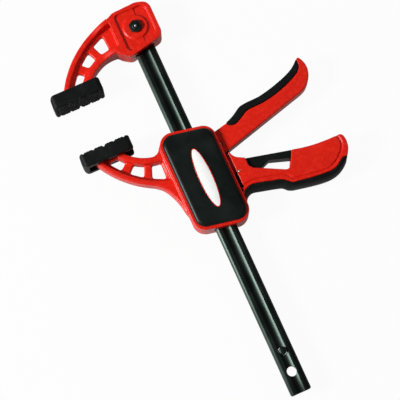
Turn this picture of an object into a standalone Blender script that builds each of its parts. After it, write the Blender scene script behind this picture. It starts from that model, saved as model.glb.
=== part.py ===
"""One-handed bar clamp, lying flat: X across towards the handles, Y along the bar towards the fixed jaw."""

import math

import bmesh
import bpy
from mathutils import Vector

# Clearances between pieces
FIT = 0.0003
SLIDE_FIT = 0.0004

# Slide bar
BAR_WIDTH = 0.018
BAR_THICKNESS = 0.006
BAR_BELOW_BODY = 0.150
BAR_ABOVE_BOLT = 0.013
BAR_CHAMFER = 0.0009
GROOVE_WIDTH = 0.0076
GROOVE_DEPTH = 0.0010
HANG_HOLE_RADIUS = 0.0042
HANG_HOLE_FROM_END = 0.0189
STOP_PIN_RADIUS = 0.0033
STOP_PIN_FROM_END = 0.0372
STOP_PIN_PROUD = 0.0018
STOP_PIN_EDGE = 0.0013

# Body rim and covers
RIM_WIDTH = 0.048
RIM_LENGTH = 0.089
RIM_SLOPE = math.radians(11)
RIM_CORNER = 0.0115
RIM_WALL = 0.004
RIM_HALF_DEPTH = 0.012
RIM_EDGE = 0.0012
COVER_INSET = 0.0024
COVER_THICKNESS = 0.0027
COVER_EDGE = 0.0021
BADGE_HALF_WIDTH = 0.0061
BADGE_HALF_LENGTH = 0.027
BADGE_CENTRE = (0.0008, -0.0013)
BADGE_THICKNESS = 0.0005
BADGE_RECESS = 0.0006
POST_RADIUS = 0.0026
POST_SIDE_GAP = 0.0028
POST_END_GAP = 0.0032
SCREW_RADIUS = 0.0009
SCREW_HEAD_RADIUS = 0.0023
SCREW_HEAD_HEIGHT = 0.0011
SCREW_SINK = 0.0002
SCREW_LENGTH = 0.010
SCREW_SLOT_WIDTH = 0.0006
SCREW_SLOT_REACH = 0.0014
SCREW_SLOT_DEPTH = 0.0005

# Jaws: heights above a jaw's clamping face, ends of an arm from the side it grows from and from the pad's tip
REST_OPENING = 0.0434
MOVING_FACE_ABOVE_RIM = 0.0151
ARM_HALF_DEPTH = 0.0075
ARM_EDGE = 0.0010
WEB_HALF_DEPTH = 0.003
FIXED_ARM_RADIUS = 0.0893
MOVING_ARM_RADIUS = 0.0880
MOVING_ARM_ROOT = (-0.0170, 0.0481)
MOVING_INNER_ROOT = (-0.0070, 0.0256)
MOVING_RECESS_ROOT = 0.0015
MOVING_ARM_FOOT = 0.0080
MOVING_INNER_FOOT = 0.0307
FIXED_ARM_ROOT = (0.0030, 0.0578)
FIXED_INNER_ROOT = (-0.0030, 0.0262)
FIXED_RECESS_ROOT = 0.0010
FIXED_ARM_FOOT = 0.0096
FIXED_INNER_FOOT = 0.0337
FIXED_ARM_HEEL = ((0, 0.0052), (0.0030, 0.0060))
ARM_INNER_RADIUS = 0.0377
OUTER_RIB = 0.0048
INNER_RIB = 0.0055
WINDOW_LIP = 0.0030
WINDOW_INNER_LIP = 0.0022
WINDOW_CORNER = 0.0010
WINDOWS_FROM_FOOT = ((46.2, 37.7, 58.7, 48.6), (32.7, 24.0, 40.0, 28.4), (18.5, 9.7, 18.8, 9.2))
PAD_LENGTH = 0.0452
PAD_HEIGHT = 0.0126
PAD_CORNER = 0.004
PAD_EDGE = 0.0010
FIXED_PAD_TIP = -0.0916
MOVING_PAD_TIP = -0.0886
PAD_END_WALL = 0.0045
FOOT_BOTTOM = 0.0035
FOOT_THICKNESS = 0.0040
FOOT_HALF_DEPTH = 0.0105
FOOT_END_INSET = 0.0010
V_GROOVE_WIDTH = 0.0034
V_GROOVE_DEPTH = 0.0019
TREAD_GROOVE_WIDTH = 0.0016
TREAD_GROOVE_DEPTH = 0.0010
TREAD_PITCH = 0.0092

# Moving arm's root on the rim: distances out from the rim's left side and up from its top
ARM_ROOT_BELOW = ((-0.0110, -0.0379), (-0.0062, -0.0460), (-0.0030, -0.0555), (-0.0010, -0.0655))
ARM_ROOT_ABOVE = ((-0.0028, -0.0084), (-0.0003, -0.0053))
ARM_ROOT_LOW = -0.0735
ARM_ROOT_HIGH = -0.0025

# Fixed jaw's head, heights above its clamping face
BOLT_HEIGHT = 0.0405
HEAD_HALF_DEPTH = 0.011
HEAD_EDGE = 0.0014
HEAD_LEFT_WALL = 0.0115
HEAD_RIGHT_WALL = 0.0099
HEAD_SHOULDER = (0.0070, 0.0033)
HEAD_SHOULDER_RADIUS = 0.0040
HEAD_LEFT_CORNER = 0.0010
HEAD_LEFT_DROP = 0.0042
HEAD_CROWN = (0.0080, 0.0002)
HEAD_CROWN_RADIUS = 0.0120
HEAD_RIGHT_DROP = 0.0030
HEAD_RIGHT_RADIUS = 0.0080
HEAD_FOOT_RADIUS = 0.0070
HEAD_HEEL = (0.0060, 0.0036)
HEAD_HEEL_RADIUS = 0.0050
HEAD_HEEL_CORNER = 0.0030
HEAD_TOP = 0.0602
HEAD_BOTTOM_LEFT = 0.0172
HEAD_BOTTOM_RIGHT = 0.0246
HEAD_BORDER = 0.0038
POCKET_LEFT_WALL = 0.0067
POCKET_LEFT_RADIUS = 0.0025
POCKET_TOP_RADIUS = 0.0060
POCKET_FOOT_RADIUS = 0.0050
POCKET_FLOOR = 0.0075
BOSS_RADIUS = 0.0104
BOSS_TOP = 0.0095
BOLT_RADIUS = 0.0030
NUT_FLATS = 0.010
NUT_HEIGHT = 0.0036
BOLT_TIP = 0.0008

# Trigger, its grip and its pins: distances out from the rim's right side and up from its top
TRIGGER_FORK_WALL = 0.0020
TRIGGER_EDGE = 0.0008
TRIGGER_SLOT_END_GAP = 0.0020
PIVOT_EYE_GAP = 0.0006
PIVOT_EYE_FIRST = math.radians(80)
PIVOT_EYE_LAST = math.radians(320)
PIVOT_RADIUS = 0.0020
PIVOT_EYE_RADIUS = 0.0042
PIVOT_BOSS_RADIUS = 0.0038
DRIVE_PIN_INSET = 0.0008
DRIVE_PIN_DROP = 0.0232
DRIVE_PIN_RADIUS = 0.0022
SQUEEZE_ANGLE = math.radians(12.5)
GRIP_PROUD = 0.0005
TRIGGER_GRIP_TOP = (
    (0.0122, -0.0081), (0.0160, -0.0067), (0.0210, -0.0043), (0.0260, -0.0011), (0.0295, 0.0003),
    (0.0360, 0.0010), (0.0460, 0.0013), (0.0560, 0.0032), (0.0660, 0.0059), (0.0760, 0.0094),
    (0.0830, 0.0131), (0.0890, 0.0183),
)
TRIGGER_GRIP_BOTTOM = (
    (0.0122, -0.0085), (0.0140, -0.0109), (0.0175, -0.0123), (0.0215, -0.0115), (0.0265, -0.0089),
    (0.0315, -0.0061), (0.0360, -0.0052), (0.0460, -0.0049), (0.0560, -0.0035), (0.0660, -0.0009),
    (0.0760, 0.0027), (0.0830, 0.0062), (0.0873, 0.0095), (0.0888, 0.0133), (0.0890, 0.0179),
)
TRIGGER_TIP = (
    (0.0894, 0.0185), (0.0908, 0.0190), (0.0926, 0.0170), (0.0943, 0.0125), (0.0947, 0.0075),
    (0.0932, 0.0017), (0.0900, -0.0037), (0.0860, -0.0075), (0.0810, -0.0098),
)
TRIGGER_ROOT_TOP = ((-0.0110, -0.0200), (-0.0045, -0.0145), (0.0003, -0.0112))
TRIGGER_ROOT_BOTTOM = ((0.0045, -0.0307), (0.0003, -0.0312), (-0.0040, -0.0305), (-0.0110, -0.0290))

# Driving plates and their spring: heights above the rim's bottom
PLATE_THICKNESS = 0.0020
PLATE_WALL = 0.0015
PLATE_RIGHT_END = 0.0033
DRIVE_SPRING_WIRE = 0.0006
DRIVE_SPRING_TURNS = 6
SPRING_SEAT_HEIGHT = 0.0365
SPRING_SEAT_THICKNESS = 0.0025
SPRING_SEAT_INSET = 0.0070

# Brake plate, its spring and the release lever: distances out from the rim's right side and up from its bottom
BRAKE_CANT = math.radians(8)
BRAKE_THICKNESS = 0.003
BRAKE_HALF_DEPTH = 0.008
BRAKE_LEFT_GAP = 0.0030
BRAKE_RIGHT_INSET = 0.0025
FULCRUM_SIDE_GAP = 0.0030
FULCRUM_HEIGHT = 0.0292
FULCRUM_HALF_WIDTH = 0.0010
BRAKE_SPRING_SIDE_GAP = 0.0055
BRAKE_SPRING_RADIUS = 0.0020
BRAKE_SPRING_WIRE = 0.0004
BRAKE_SPRING_TURNS = 5
BRAKE_SEAT_HEIGHT = 0.0183
BRAKE_SEAT_THICKNESS = 0.0020
BRAKE_SEAT_LIP = 0.0009
RELEASE_PIVOT = (0.0047, 0.0380)
RELEASE_PIN_RADIUS = 0.0010
RELEASE_EDGE = 0.0008
RELEASE_HUB_RADIUS = 0.0030
RELEASE_HUB_FIRST = math.radians(70)
RELEASE_HUB_LAST = math.radians(190)
RELEASE_TOP = ((0.0090, 0.0447), (0.0142, 0.0464), (0.0525, 0.0372), (0.0532, 0.0357), (0.0580, 0.0346))
RELEASE_BOTTOM = (
    (0.0572, 0.0277), (0.0493, 0.0295), (0.0300, 0.0363), (0.0265, 0.0346), (0.0225, 0.0332),
    (0.0180, 0.0339), (0.0120, 0.0353),
)
RELEASE_NOSE = ((0.0005, 0.0220), (-0.0048, 0.0220), (-0.0048, 0.0245), (0.0000, 0.0245))

# Fixed handle and its grip: distances out from the rim's right side and up from its bottom
HANDLE_HALF_DEPTH = 0.010
HANDLE_EDGE = 0.0007
HANDLE_WALL = 0.0024
HANDLE_GAP = 0.0028
HANDLE_NECK_TOP = 0.0240
HANDLE_NECK_BOTTOM = 0.0115
HANDLE_ROOT = ((0.0040, 0.0563), (0.0052, 0.0530), (0.0075, 0.0502), (0.0110, 0.0482), (0.0142, 0.0465))
HANDLE_WINDOW = ((0.0142, 0.0392), (0.0170, 0.0358), (0.0230, 0.0329), (0.0410, 0.0236))
HANDLE_WINDOW_END = ((0.0428, 0.0231), (0.0450, 0.0240), (0.0466, 0.0263), (0.0525, 0.0369))
HANDLE_TOP = ((0.0610, 0.0349), (0.0710, 0.0334), (0.0810, 0.0327), (0.0910, 0.0326), (0.0945, 0.0326))
HANDLE_END = ((0.0966, 0.0313), (0.0976, 0.0287), (0.0978, 0.0245), (0.0966, 0.0190), (0.0932, 0.0133))
HANDLE_GRIP_TOP = (
    (0.0009, 0.0115), (0.0012, 0.0170), (0.0032, 0.0210), (0.0090, 0.0233), (0.0160, 0.0223),
    (0.0260, 0.0195), (0.0340, 0.0173), (0.0378, 0.0145), (0.0415, 0.0112), (0.0460, 0.0103),
    (0.0560, 0.0087), (0.0660, 0.0075), (0.0760, 0.0070), (0.0820, 0.0087), (0.0870, 0.0121),
    (0.0900, 0.0134), (0.0932, 0.0131),
)
HANDLE_GRIP_BOTTOM = (
    (0.0910, 0.0095), (0.0870, 0.0061), (0.0810, 0.0029), (0.0740, 0.0014), (0.0660, 0.0016),
    (0.0560, 0.0031), (0.0460, 0.0051), (0.0400, 0.0064), (0.0365, 0.0081), (0.0345, 0.0103),
    (0.0320, 0.0119), (0.0260, 0.0137), (0.0160, 0.0162), (0.0085, 0.0179), (0.0038, 0.0162),
    (0.0014, 0.0133),
)
CHANNEL_FLOOR = ((0.0580, 0.0190), (0.0410, 0.0190), (0.0230, 0.0285), (0.0170, 0.0305), (0.0100, 0.0295))
CHANNEL_END = 0.0600
CHANNEL_LOW = 0.0207
CHANNEL_END_LOW = 0.0205
CHANNEL_HIGH = 0.0645
LEVER_OPENING_DROP = 0.0075
LEVER_OPENING_LIP = 0.0018

# Facets
STEP_ANGLE = math.radians(15)
FACET_LONGEST = 0.006
SHARP_ANGLE = math.radians(35)
CURVE_STEPS = 2
WIRE_POINTS = 8
CUT_PAST = 0.001
FACET_LENGTH = 0.0006
LEAST_SIDE = 0.0002

# Worked out from the sizes above
REST_HEIGHT = RIM_HALF_DEPTH + FIT + COVER_THICKNESS
PAD_HALF_DEPTH = REST_HEIGHT
BAR_SIDE = BAR_WIDTH / 2 + SLIDE_FIT
BAR_FACE = BAR_THICKNESS / 2 + SLIDE_FIT
RIM_SIDE = RIM_WIDTH / 2
RIM_TOP = RIM_LENGTH / 2
MOVING_FACE = RIM_TOP + MOVING_FACE_ABOVE_RIM
FIXED_FACE = MOVING_FACE + REST_OPENING
BOLT_Y = FIXED_FACE + BOLT_HEIGHT
BAR_TOP = BOLT_Y + BAR_ABOVE_BOLT
BAR_BOTTOM = -RIM_TOP - BAR_BELOW_BODY
RIM_INSIDE = RIM_SIDE - RIM_WALL
RIM_MID_WALL = RIM_SIDE - RIM_WALL / 2
HEAD_LEFT = -BAR_WIDTH / 2 - HEAD_LEFT_WALL
HEAD_RIGHT = BAR_WIDTH / 2 + HEAD_RIGHT_WALL
PIVOT_X = -RIM_INSIDE + PIVOT_EYE_RADIUS + PIVOT_EYE_GAP
DRIVE_PIN_X = RIM_SIDE - DRIVE_PIN_INSET
DRIVE_PIN_Y = RIM_TOP - DRIVE_PIN_DROP
PIVOT_Y = DRIVE_PIN_Y - (DRIVE_PIN_X - PIVOT_X) * math.tan(SQUEEZE_ANGLE / 2)
PIVOT = (PIVOT_X, PIVOT_Y)
DRIVE_PIN = (DRIVE_PIN_X, DRIVE_PIN_Y)
PLATE_TOP = DRIVE_PIN_Y - DRIVE_PIN_RADIUS - FIT
PLATE_HALF_DEPTH = BAR_FACE + PLATE_WALL
PLATE_END = DRIVE_PIN_X + PLATE_RIGHT_END
TRIGGER_SLOT_HALF = PLATE_HALF_DEPTH + FIT
TRIGGER_HALF_DEPTH = TRIGGER_SLOT_HALF + TRIGGER_FORK_WALL
CHANNEL_HALF_DEPTH = HANDLE_HALF_DEPTH - HANDLE_WALL
RELEASE_HALF_DEPTH = CHANNEL_HALF_DEPTH - SLIDE_FIT
SPRING_SEAT_TOP = SPRING_SEAT_HEIGHT - RIM_TOP
FULCRUM_POINT = (BAR_WIDTH / 2 + FULCRUM_SIDE_GAP, FULCRUM_HEIGHT - RIM_TOP)
BRAKE_SPRING_X = -BAR_WIDTH / 2 - BRAKE_SPRING_SIDE_GAP
BRAKE_SEAT_TOP = BRAKE_SEAT_HEIGHT - RIM_TOP
DRIVE_SPRING_RADIUS = math.hypot(BAR_WIDTH, BAR_THICKNESS) / 2 + SLIDE_FIT + DRIVE_SPRING_WIRE
POST_X = BAR_WIDTH / 2 + POST_SIDE_GAP + POST_RADIUS
COVER_TOP = RIM_HALF_DEPTH + FIT + COVER_THICKNESS

RED = ((0.62, 0.016, 0.010), 0.35, 0.0)
BLACK_PLASTIC = ((0.012, 0.013, 0.013), 0.38, 0.0)
RUBBER = ((0.010, 0.010, 0.010), 0.75, 0.0)
BLACK_STEEL = ((0.030, 0.036, 0.035), 0.35, 0.9)
BRIGHT_STEEL = ((0.60, 0.60, 0.58), 0.30, 1.0)
WHITE = ((0.85, 0.85, 0.85), 0.40, 0.0)


def clear_scene():
    for obj in list(bpy.data.objects):
        bpy.data.objects.remove(obj, do_unlink=True)


def material(name, look):
    colour, roughness, metallic = look
    made = bpy.data.materials.new(name)
    made.use_nodes = True
    shader = made.node_tree.nodes["Principled BSDF"]
    shader.inputs["Base Color"].default_value = (*colour, 1)
    shader.inputs["Roughness"].default_value = roughness
    shader.inputs["Metallic"].default_value = metallic
    return made


def empty(name, place, parent=None):
    made = bpy.data.objects.new(name, None)
    bpy.context.collection.objects.link(made)
    made.location = place
    made.parent = parent
    return made


def arc(centre, radius, start, end):
    """Points on a circle from one angle to another, the angles taken from +X towards +Y."""
    step = max(min(STEP_ANGLE, FACET_LONGEST / radius), FACET_LENGTH / radius)
    steps = max(2, math.ceil(abs(end - start) / step))
    turns = [start + (end - start) * i / steps for i in range(steps + 1)]
    return [(centre[0] + radius * math.cos(t), centre[1] + radius * math.sin(t)) for t in turns]


def circle(centre, radius):
    return arc(centre, radius, 0, 2 * math.pi)[:-1]


def rounded(corners):
    """An outline through corners (x, y, radius), each replaced by an arc of its radius."""
    outline = []
    for i, (x, y, radius) in enumerate(corners):
        here = Vector((x, y))
        back = (Vector(corners[i - 1][:2]) - here).normalized()
        on = (Vector(corners[(i + 1) % len(corners)][:2]) - here).normalized()
        half = back.angle(on) / 2
        middle = here + (back + on).normalized() * radius / math.sin(half)
        first = here + back * radius / math.tan(half) - middle
        last = here + on * radius / math.tan(half) - middle
        start = math.atan2(first.y, first.x)
        sweep = math.remainder(math.atan2(last.y, last.x) - start, 2 * math.pi)
        outline += arc(middle, radius, start, start + sweep)
    return outline


def smooth(points):
    """A curve through the points, with CURVE_STEPS facets between each two."""
    ends = [points[0], *points, points[-1]]
    curve = []
    for a, b, c, d in zip(ends, ends[1:], ends[2:], ends[3:]):
        for i in range(CURVE_STEPS):
            t = i / CURVE_STEPS
            weights = (-t + 2 * t**2 - t**3, 2 - 5 * t**2 + 3 * t**3, t + 4 * t**2 - 3 * t**3, t**3 - t**2)
            curve.append(tuple(sum(w * p[k] for w, p in zip(weights, (a, b, c, d))) / 2 for k in (0, 1)))
    return curve + [points[-1]]


def shifted(curve, distance):
    """The curve moved sideways to its left by the distance."""
    moved = []
    for i, point in enumerate(curve):
        before, after = curve[max(i - 1, 0)], curve[min(i + 1, len(curve) - 1)]
        along = (Vector(after) - Vector(before)).normalized()
        moved.append((point[0] - along.y * distance, point[1] + along.x * distance))
    return moved


def solid(name, outline, low, high, edge=0, parent=None, look=None, along_y=False):
    """A prism of the outline from low to high along Z (or Y), its end edges rounded by edge."""
    mesh = bmesh.new()
    outline = [p for p, q in zip(outline, [*outline[1:], outline[0]]) if math.dist(p, q) > LEAST_SIDE]
    turned = sum(a[0] * b[1] - b[0] * a[1] for a, b in zip(outline, [*outline[1:], outline[0]]))
    if turned < 0:
        outline = outline[::-1]
    bottom = mesh.faces.new([mesh.verts.new((x, y, low)) for x, y in outline])
    bottom.normal_flip()
    top = bmesh.ops.extrude_face_region(mesh, geom=[bottom], use_keep_orig=True)["geom"]
    raised = [part for part in top if isinstance(part, bmesh.types.BMVert)]
    bmesh.ops.translate(mesh, verts=raised, vec=(0, 0, high - low))
    bmesh.ops.recalc_face_normals(mesh, faces=mesh.faces)
    if edge:
        rims = [e for e in mesh.edges if all(v.co.z == e.verts[0].co.z for v in e.verts)]
        bmesh.ops.bevel(mesh, geom=rims, offset=edge, segments=1, profile=0.5, affect="EDGES",
                        clamp_overlap=True)
    if along_y:
        for vert in mesh.verts:
            vert.co = (vert.co.x, vert.co.z, vert.co.y)
        bmesh.ops.reverse_faces(mesh, faces=mesh.faces)
    data = bpy.data.meshes.new(name)
    mesh.to_mesh(data)
    mesh.free()
    data.shade_smooth()
    data.set_sharp_from_angle(angle=SHARP_ANGLE)
    made = bpy.data.objects.new(name, data)
    bpy.context.collection.objects.link(made)
    made.parent = parent
    if look:
        data.materials.append(material(name, look))
    return made


def combine(target, helper, operation):
    """Cut the helper from the target, or join it on, and keep the helper as a hidden wire shape."""
    helper.hide_render = True
    helper.display_type = "WIRE"
    helper.parent = target
    step = target.modifiers.new(helper.name, "BOOLEAN")
    step.operation = operation
    step.solver = "EXACT"
    step.object = helper


def cut(target, name, outline, low, high, edge=0, along_y=False):
    combine(target, solid(name, outline, low, high, edge, along_y=along_y), "DIFFERENCE")


def join(target, name, outline, low, high, edge=0):
    combine(target, solid(name, outline, low, high, edge), "UNION")


def both_faces(action, target, name, outline, low, high, edge=0):
    action(target, name + "_front", outline, low, high, edge)
    action(target, name + "_back", outline, -high, -low, edge)


def box(left, bottom, right, top):
    return [(left, bottom), (right, bottom), (right, top), (left, top)]


def placed(outline, origin):
    return [(x - origin[0], y - origin[1]) for x, y in outline]


def from_top(points, side=RIM_SIDE):
    """Points given from the rim's side and up from the level of its top."""
    return [(side + x, RIM_TOP + y) for x, y in points]


def from_bottom(points):
    """Points given out from the rim's right side and up from the level of its bottom."""
    return [(RIM_SIDE + x, y - RIM_TOP) for x, y in points]


def hexagon(centre, flats):
    radius = flats / math.sqrt(3)
    corners = [math.radians(90 + 60 * i) for i in range(6)]
    return [(centre[0] + radius * math.cos(a), centre[1] + radius * math.sin(a)) for a in corners]


def coil(name, centre, low, high, radius, wire, turns, parent, look):
    """A compression spring along Y as one unbroken tube, with its least gap to itself printed."""
    count = turns * WIRE_POINTS
    rise = high - low - 2 * wire
    points = []
    for i in range(count + 1):
        turn = 2 * math.pi * i / WIRE_POINTS
        height = low + wire + rise * i / count
        points.append(Vector((centre + radius * math.cos(turn), height, radius * math.sin(turn))))
    apart = [(p - q).length for i, p in enumerate(points) for q in points[i + WIRE_POINTS // 2:]]
    print(f"{name}: least gap between its turns {1000 * (min(apart) - 2 * wire):.2f} mm")
    data = bpy.data.curves.new(name, "CURVE")
    data.dimensions = "3D"
    data.bevel_depth = wire
    data.bevel_resolution = 1
    data.use_fill_caps = True
    line = data.splines.new("POLY")
    line.points.add(len(points) - 1)
    for point, place in zip(line.points, points):
        point.co = (*place, 1)
    made = bpy.data.objects.new(name, data)
    bpy.context.collection.objects.link(made)
    made.parent = parent
    data.materials.append(material(name, look))
    return made


def rim_outline(inset):
    """The rim's slanted outline with round corners, moved inwards by the inset."""
    side = RIM_SIDE - inset
    top = RIM_TOP - inset / math.cos(RIM_SLOPE)
    drop = side * math.tan(RIM_SLOPE)
    radius = RIM_CORNER - inset
    corners = ((-side, top + drop), (-side, -top + drop), (side, -top - drop), (side, top - drop))
    return rounded([(x, y, radius) for x, y in corners])


def post_points():
    """Centres of the four screw posts, two on each side of the bar, near the rim's ends."""
    reach = RIM_TOP - RIM_WALL / math.cos(RIM_SLOPE) - POST_END_GAP - POST_RADIUS
    drop = POST_X * math.tan(RIM_SLOPE)
    return [(side * POST_X, end * reach - side * drop) for end in (1, -1) for side in (-1, 1)]


def oval():
    narrow = BADGE_HALF_WIDTH / BADGE_HALF_LENGTH
    return [(BADGE_CENTRE[0] + x * narrow, BADGE_CENTRE[1] + y) for x, y in circle((0, 0), BADGE_HALF_LENGTH)]


def arm_arc(centre, radius, start, end):
    """An arc about the centre, the angles taken from straight up towards the jaw's tip."""
    return arc(centre, radius, math.pi / 2 + start, math.pi / 2 + end)


def angle_at_x(centre, radius, x):
    return math.asin((centre[0] - x) / radius)


def angle_at_height(centre, radius, height):
    return math.acos((height - centre[1]) / radius)


def arc_centre(root, foot, radius):
    """Centre of the arc of this radius that bulges outwards from an arm's root to its foot."""
    start, end = Vector(root), Vector(foot)
    half = (end - start) / 2
    away = Vector((-half.y, half.x)).normalized()
    return tuple(start + half + away * math.sqrt(radius**2 - half.length_squared))


def arm_centres(side, tip, radius, roots, feet):
    """Centres of an arm's outer and inner edges."""
    level = FOOT_BOTTOM + FOOT_THICKNESS / 2
    ends = [((side + root[0], root[1]), (tip + foot, level)) for root, foot in zip(roots, feet)]
    return arc_centre(*ends[0], radius), arc_centre(*ends[1], ARM_INNER_RADIUS)


def fixed_centres():
    return arm_centres(HEAD_LEFT, FIXED_PAD_TIP, FIXED_ARM_RADIUS, (FIXED_ARM_ROOT, FIXED_INNER_ROOT),
                       (FIXED_ARM_FOOT, FIXED_INNER_FOOT))


def moving_centres():
    return arm_centres(-RIM_SIDE, MOVING_PAD_TIP, MOVING_ARM_RADIUS, (MOVING_ARM_ROOT, MOVING_INNER_ROOT),
                       (MOVING_ARM_FOOT, MOVING_INNER_FOOT))


def arm_shapes(centres, radius, root):
    """Outlines of the web's recess and of the three windows, as heights above the clamping face."""
    outer, inner = centres
    rib, inner_rib = radius - OUTER_RIB, ARM_INNER_RADIUS + INNER_RIB
    foot = FOOT_BOTTOM + FOOT_THICKNESS + FIT
    recess = arm_arc(outer, rib, angle_at_x(outer, rib, root), angle_at_height(outer, rib, foot))
    inner_end = angle_at_height(inner, inner_rib, foot)
    recess += arm_arc(inner, inner_rib, inner_end, angle_at_x(inner, inner_rib, root))
    level = FOOT_BOTTOM + FOOT_THICKNESS / 2
    end = angle_at_height(outer, radius, level)
    inner_end = angle_at_height(inner, ARM_INNER_RADIUS, level)
    windows = []
    for angles in WINDOWS_FROM_FOOT:
        first, last, inner_first, inner_last = (math.radians(a) for a in angles)
        edge = arm_arc(outer, rib - WINDOW_LIP, end - first, end - last)
        lower = arm_arc(inner, inner_rib + WINDOW_INNER_LIP, inner_end - inner_last, inner_end - inner_first)
        corners = [edge[0], edge[-1], lower[0], lower[-1]]
        windows.append(rounded([(x, y, WINDOW_CORNER) for x, y in corners]))
    return recess, windows


def arm_edges(centres, radius, side, roots):
    """The arm's outer and inner edges, each from its root to the foot."""
    foot = FOOT_BOTTOM + FOOT_THICKNESS / 2
    edges = []
    for centre, reach, root in zip(centres, (radius, ARM_INNER_RADIUS), roots):
        start = angle_at_x(centre, reach, side + root[0])
        edges.append(arm_arc(centre, reach, start, angle_at_height(centre, reach, foot)))
    return edges


def foot_outline(tip):
    left = tip + PAD_END_WALL + FIT
    right = tip + PAD_LENGTH - FOOT_END_INSET
    return box(left, FOOT_BOTTOM, right, FOOT_BOTTOM + FOOT_THICKNESS)


def flipped(outline):
    """An outline given in heights above the moving jaw's face, which looks towards +Y."""
    return [(x, MOVING_FACE - height) for x, height in outline]


def lifted(outline):
    """An outline given in heights above the fixed jaw's face, which looks towards -Y."""
    return [(x, FIXED_FACE + height) for x, height in outline]


def finish_arm(jaw, name, to_place, centres, radius, root, tip):
    """Foot, sunken web and windows of a jaw's arm."""
    recess, windows = arm_shapes(centres, radius, root)
    join(jaw, name + "_foot", to_place(foot_outline(tip)), -FOOT_HALF_DEPTH, FOOT_HALF_DEPTH)
    both_faces(cut, jaw, name + "_recess", to_place(recess), WEB_HALF_DEPTH, RIM_HALF_DEPTH + CUT_PAST)
    for i, window in enumerate(windows):
        cut(jaw, f"{name}_window_{i}", to_place(window), -ARM_HALF_DEPTH, ARM_HALF_DEPTH)


def slide_bar(parent):
    half, face = BAR_WIDTH / 2, BAR_THICKNESS / 2
    groove_radius = (GROOVE_WIDTH**2 / 4 + GROOVE_DEPTH**2) / (2 * GROOVE_DEPTH)
    spread = math.asin(GROOVE_WIDTH / 2 / groove_radius)
    middle = (0, face - GROOVE_DEPTH + groove_radius)
    groove = arc(middle, groove_radius, -math.pi / 2 - spread, -math.pi / 2 + spread)
    upper = [(-half, face - BAR_CHAMFER), (-half + BAR_CHAMFER, face), *groove,
             (half - BAR_CHAMFER, face), (half, face - BAR_CHAMFER)]
    section = upper + [(-x, -z) for x, z in upper]
    bar = solid("slide_bar", section, BAR_BOTTOM, BAR_TOP, parent=parent, look=BLACK_STEEL, along_y=True)
    holes = (
        ("bolt_hole", BOLT_Y, BOLT_RADIUS + FIT),
        ("hang_hole", BAR_BOTTOM + HANG_HOLE_FROM_END, HANG_HOLE_RADIUS),
        ("pin_hole", BAR_BOTTOM + STOP_PIN_FROM_END, STOP_PIN_RADIUS + FIT),
    )
    for name, y, radius in holes:
        cut(bar, name, circle((0, y), radius), -BAR_THICKNESS, BAR_THICKNESS)


def stop_pin(parent):
    reach = BAR_THICKNESS / 2 + STOP_PIN_PROUD
    place = (0, BAR_BOTTOM + STOP_PIN_FROM_END)
    solid("stop_pin", circle(place, STOP_PIN_RADIUS), -reach, reach, STOP_PIN_EDGE, parent, BLACK_STEEL)


def head_outline():
    left_top = HEAD_TOP - HEAD_LEFT_DROP
    return rounded([
        (HEAD_LEFT, left_top, HEAD_LEFT_CORNER),
        (HEAD_LEFT + HEAD_SHOULDER[0], left_top + HEAD_SHOULDER[1], HEAD_SHOULDER_RADIUS),
        (HEAD_CROWN[0], HEAD_TOP + HEAD_CROWN[1], HEAD_CROWN_RADIUS),
        (HEAD_RIGHT, HEAD_TOP - HEAD_RIGHT_DROP, HEAD_RIGHT_RADIUS),
        (HEAD_RIGHT, HEAD_BOTTOM_RIGHT, HEAD_FOOT_RADIUS),
        (HEAD_LEFT + HEAD_HEEL[0], HEAD_BOTTOM_LEFT, HEAD_HEEL_RADIUS),
        (HEAD_LEFT, HEAD_BOTTOM_LEFT + HEAD_HEEL[1], HEAD_HEEL_CORNER),
    ])


def pocket_outline():
    left, right = HEAD_LEFT + POCKET_LEFT_WALL, HEAD_RIGHT - HEAD_BORDER
    top = HEAD_TOP - HEAD_BORDER
    return rounded([
        (left, top, POCKET_LEFT_RADIUS),
        (right, top, POCKET_TOP_RADIUS),
        (right, HEAD_BOTTOM_RIGHT + HEAD_BORDER, POCKET_FOOT_RADIUS),
        (left, HEAD_BOTTOM_LEFT + HEAD_BORDER, POCKET_LEFT_RADIUS),
    ])


def fixed_jaw(parent):
    centres = fixed_centres()
    outside, inside = arm_edges(centres, FIXED_ARM_RADIUS, HEAD_LEFT, (FIXED_ARM_ROOT, FIXED_INNER_ROOT))
    heel = [(HEAD_LEFT + x, HEAD_BOTTOM_LEFT + height) for x, height in FIXED_ARM_HEEL]
    arm = outside + inside[::-1] + heel
    jaw = solid("fixed_jaw", lifted(head_outline()), -HEAD_HALF_DEPTH, HEAD_HALF_DEPTH, HEAD_EDGE, parent, RED)
    join(jaw, "fixed_arm", lifted(arm), -ARM_HALF_DEPTH, ARM_HALF_DEPTH, ARM_EDGE)
    finish_arm(jaw, "fixed_arm", lifted, centres, FIXED_ARM_RADIUS, HEAD_LEFT - FIXED_RECESS_ROOT, FIXED_PAD_TIP)
    bolt = (0, BOLT_Y)
    past = HEAD_HALF_DEPTH + CUT_PAST
    both_faces(cut, jaw, "head_pocket", lifted(pocket_outline()), POCKET_FLOOR, past)
    both_faces(join, jaw, "head_boss", circle(bolt, BOSS_RADIUS), POCKET_FLOOR - FIT, BOSS_TOP)
    socket = box(-BAR_SIDE, -BAR_FACE, BAR_SIDE, BAR_FACE)
    cut(jaw, "bar_socket", socket, FIXED_FACE, BAR_TOP + FIT, along_y=True)
    cut(jaw, "jaw_bolt_hole", circle(bolt, BOLT_RADIUS + FIT), -past, past)


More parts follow.
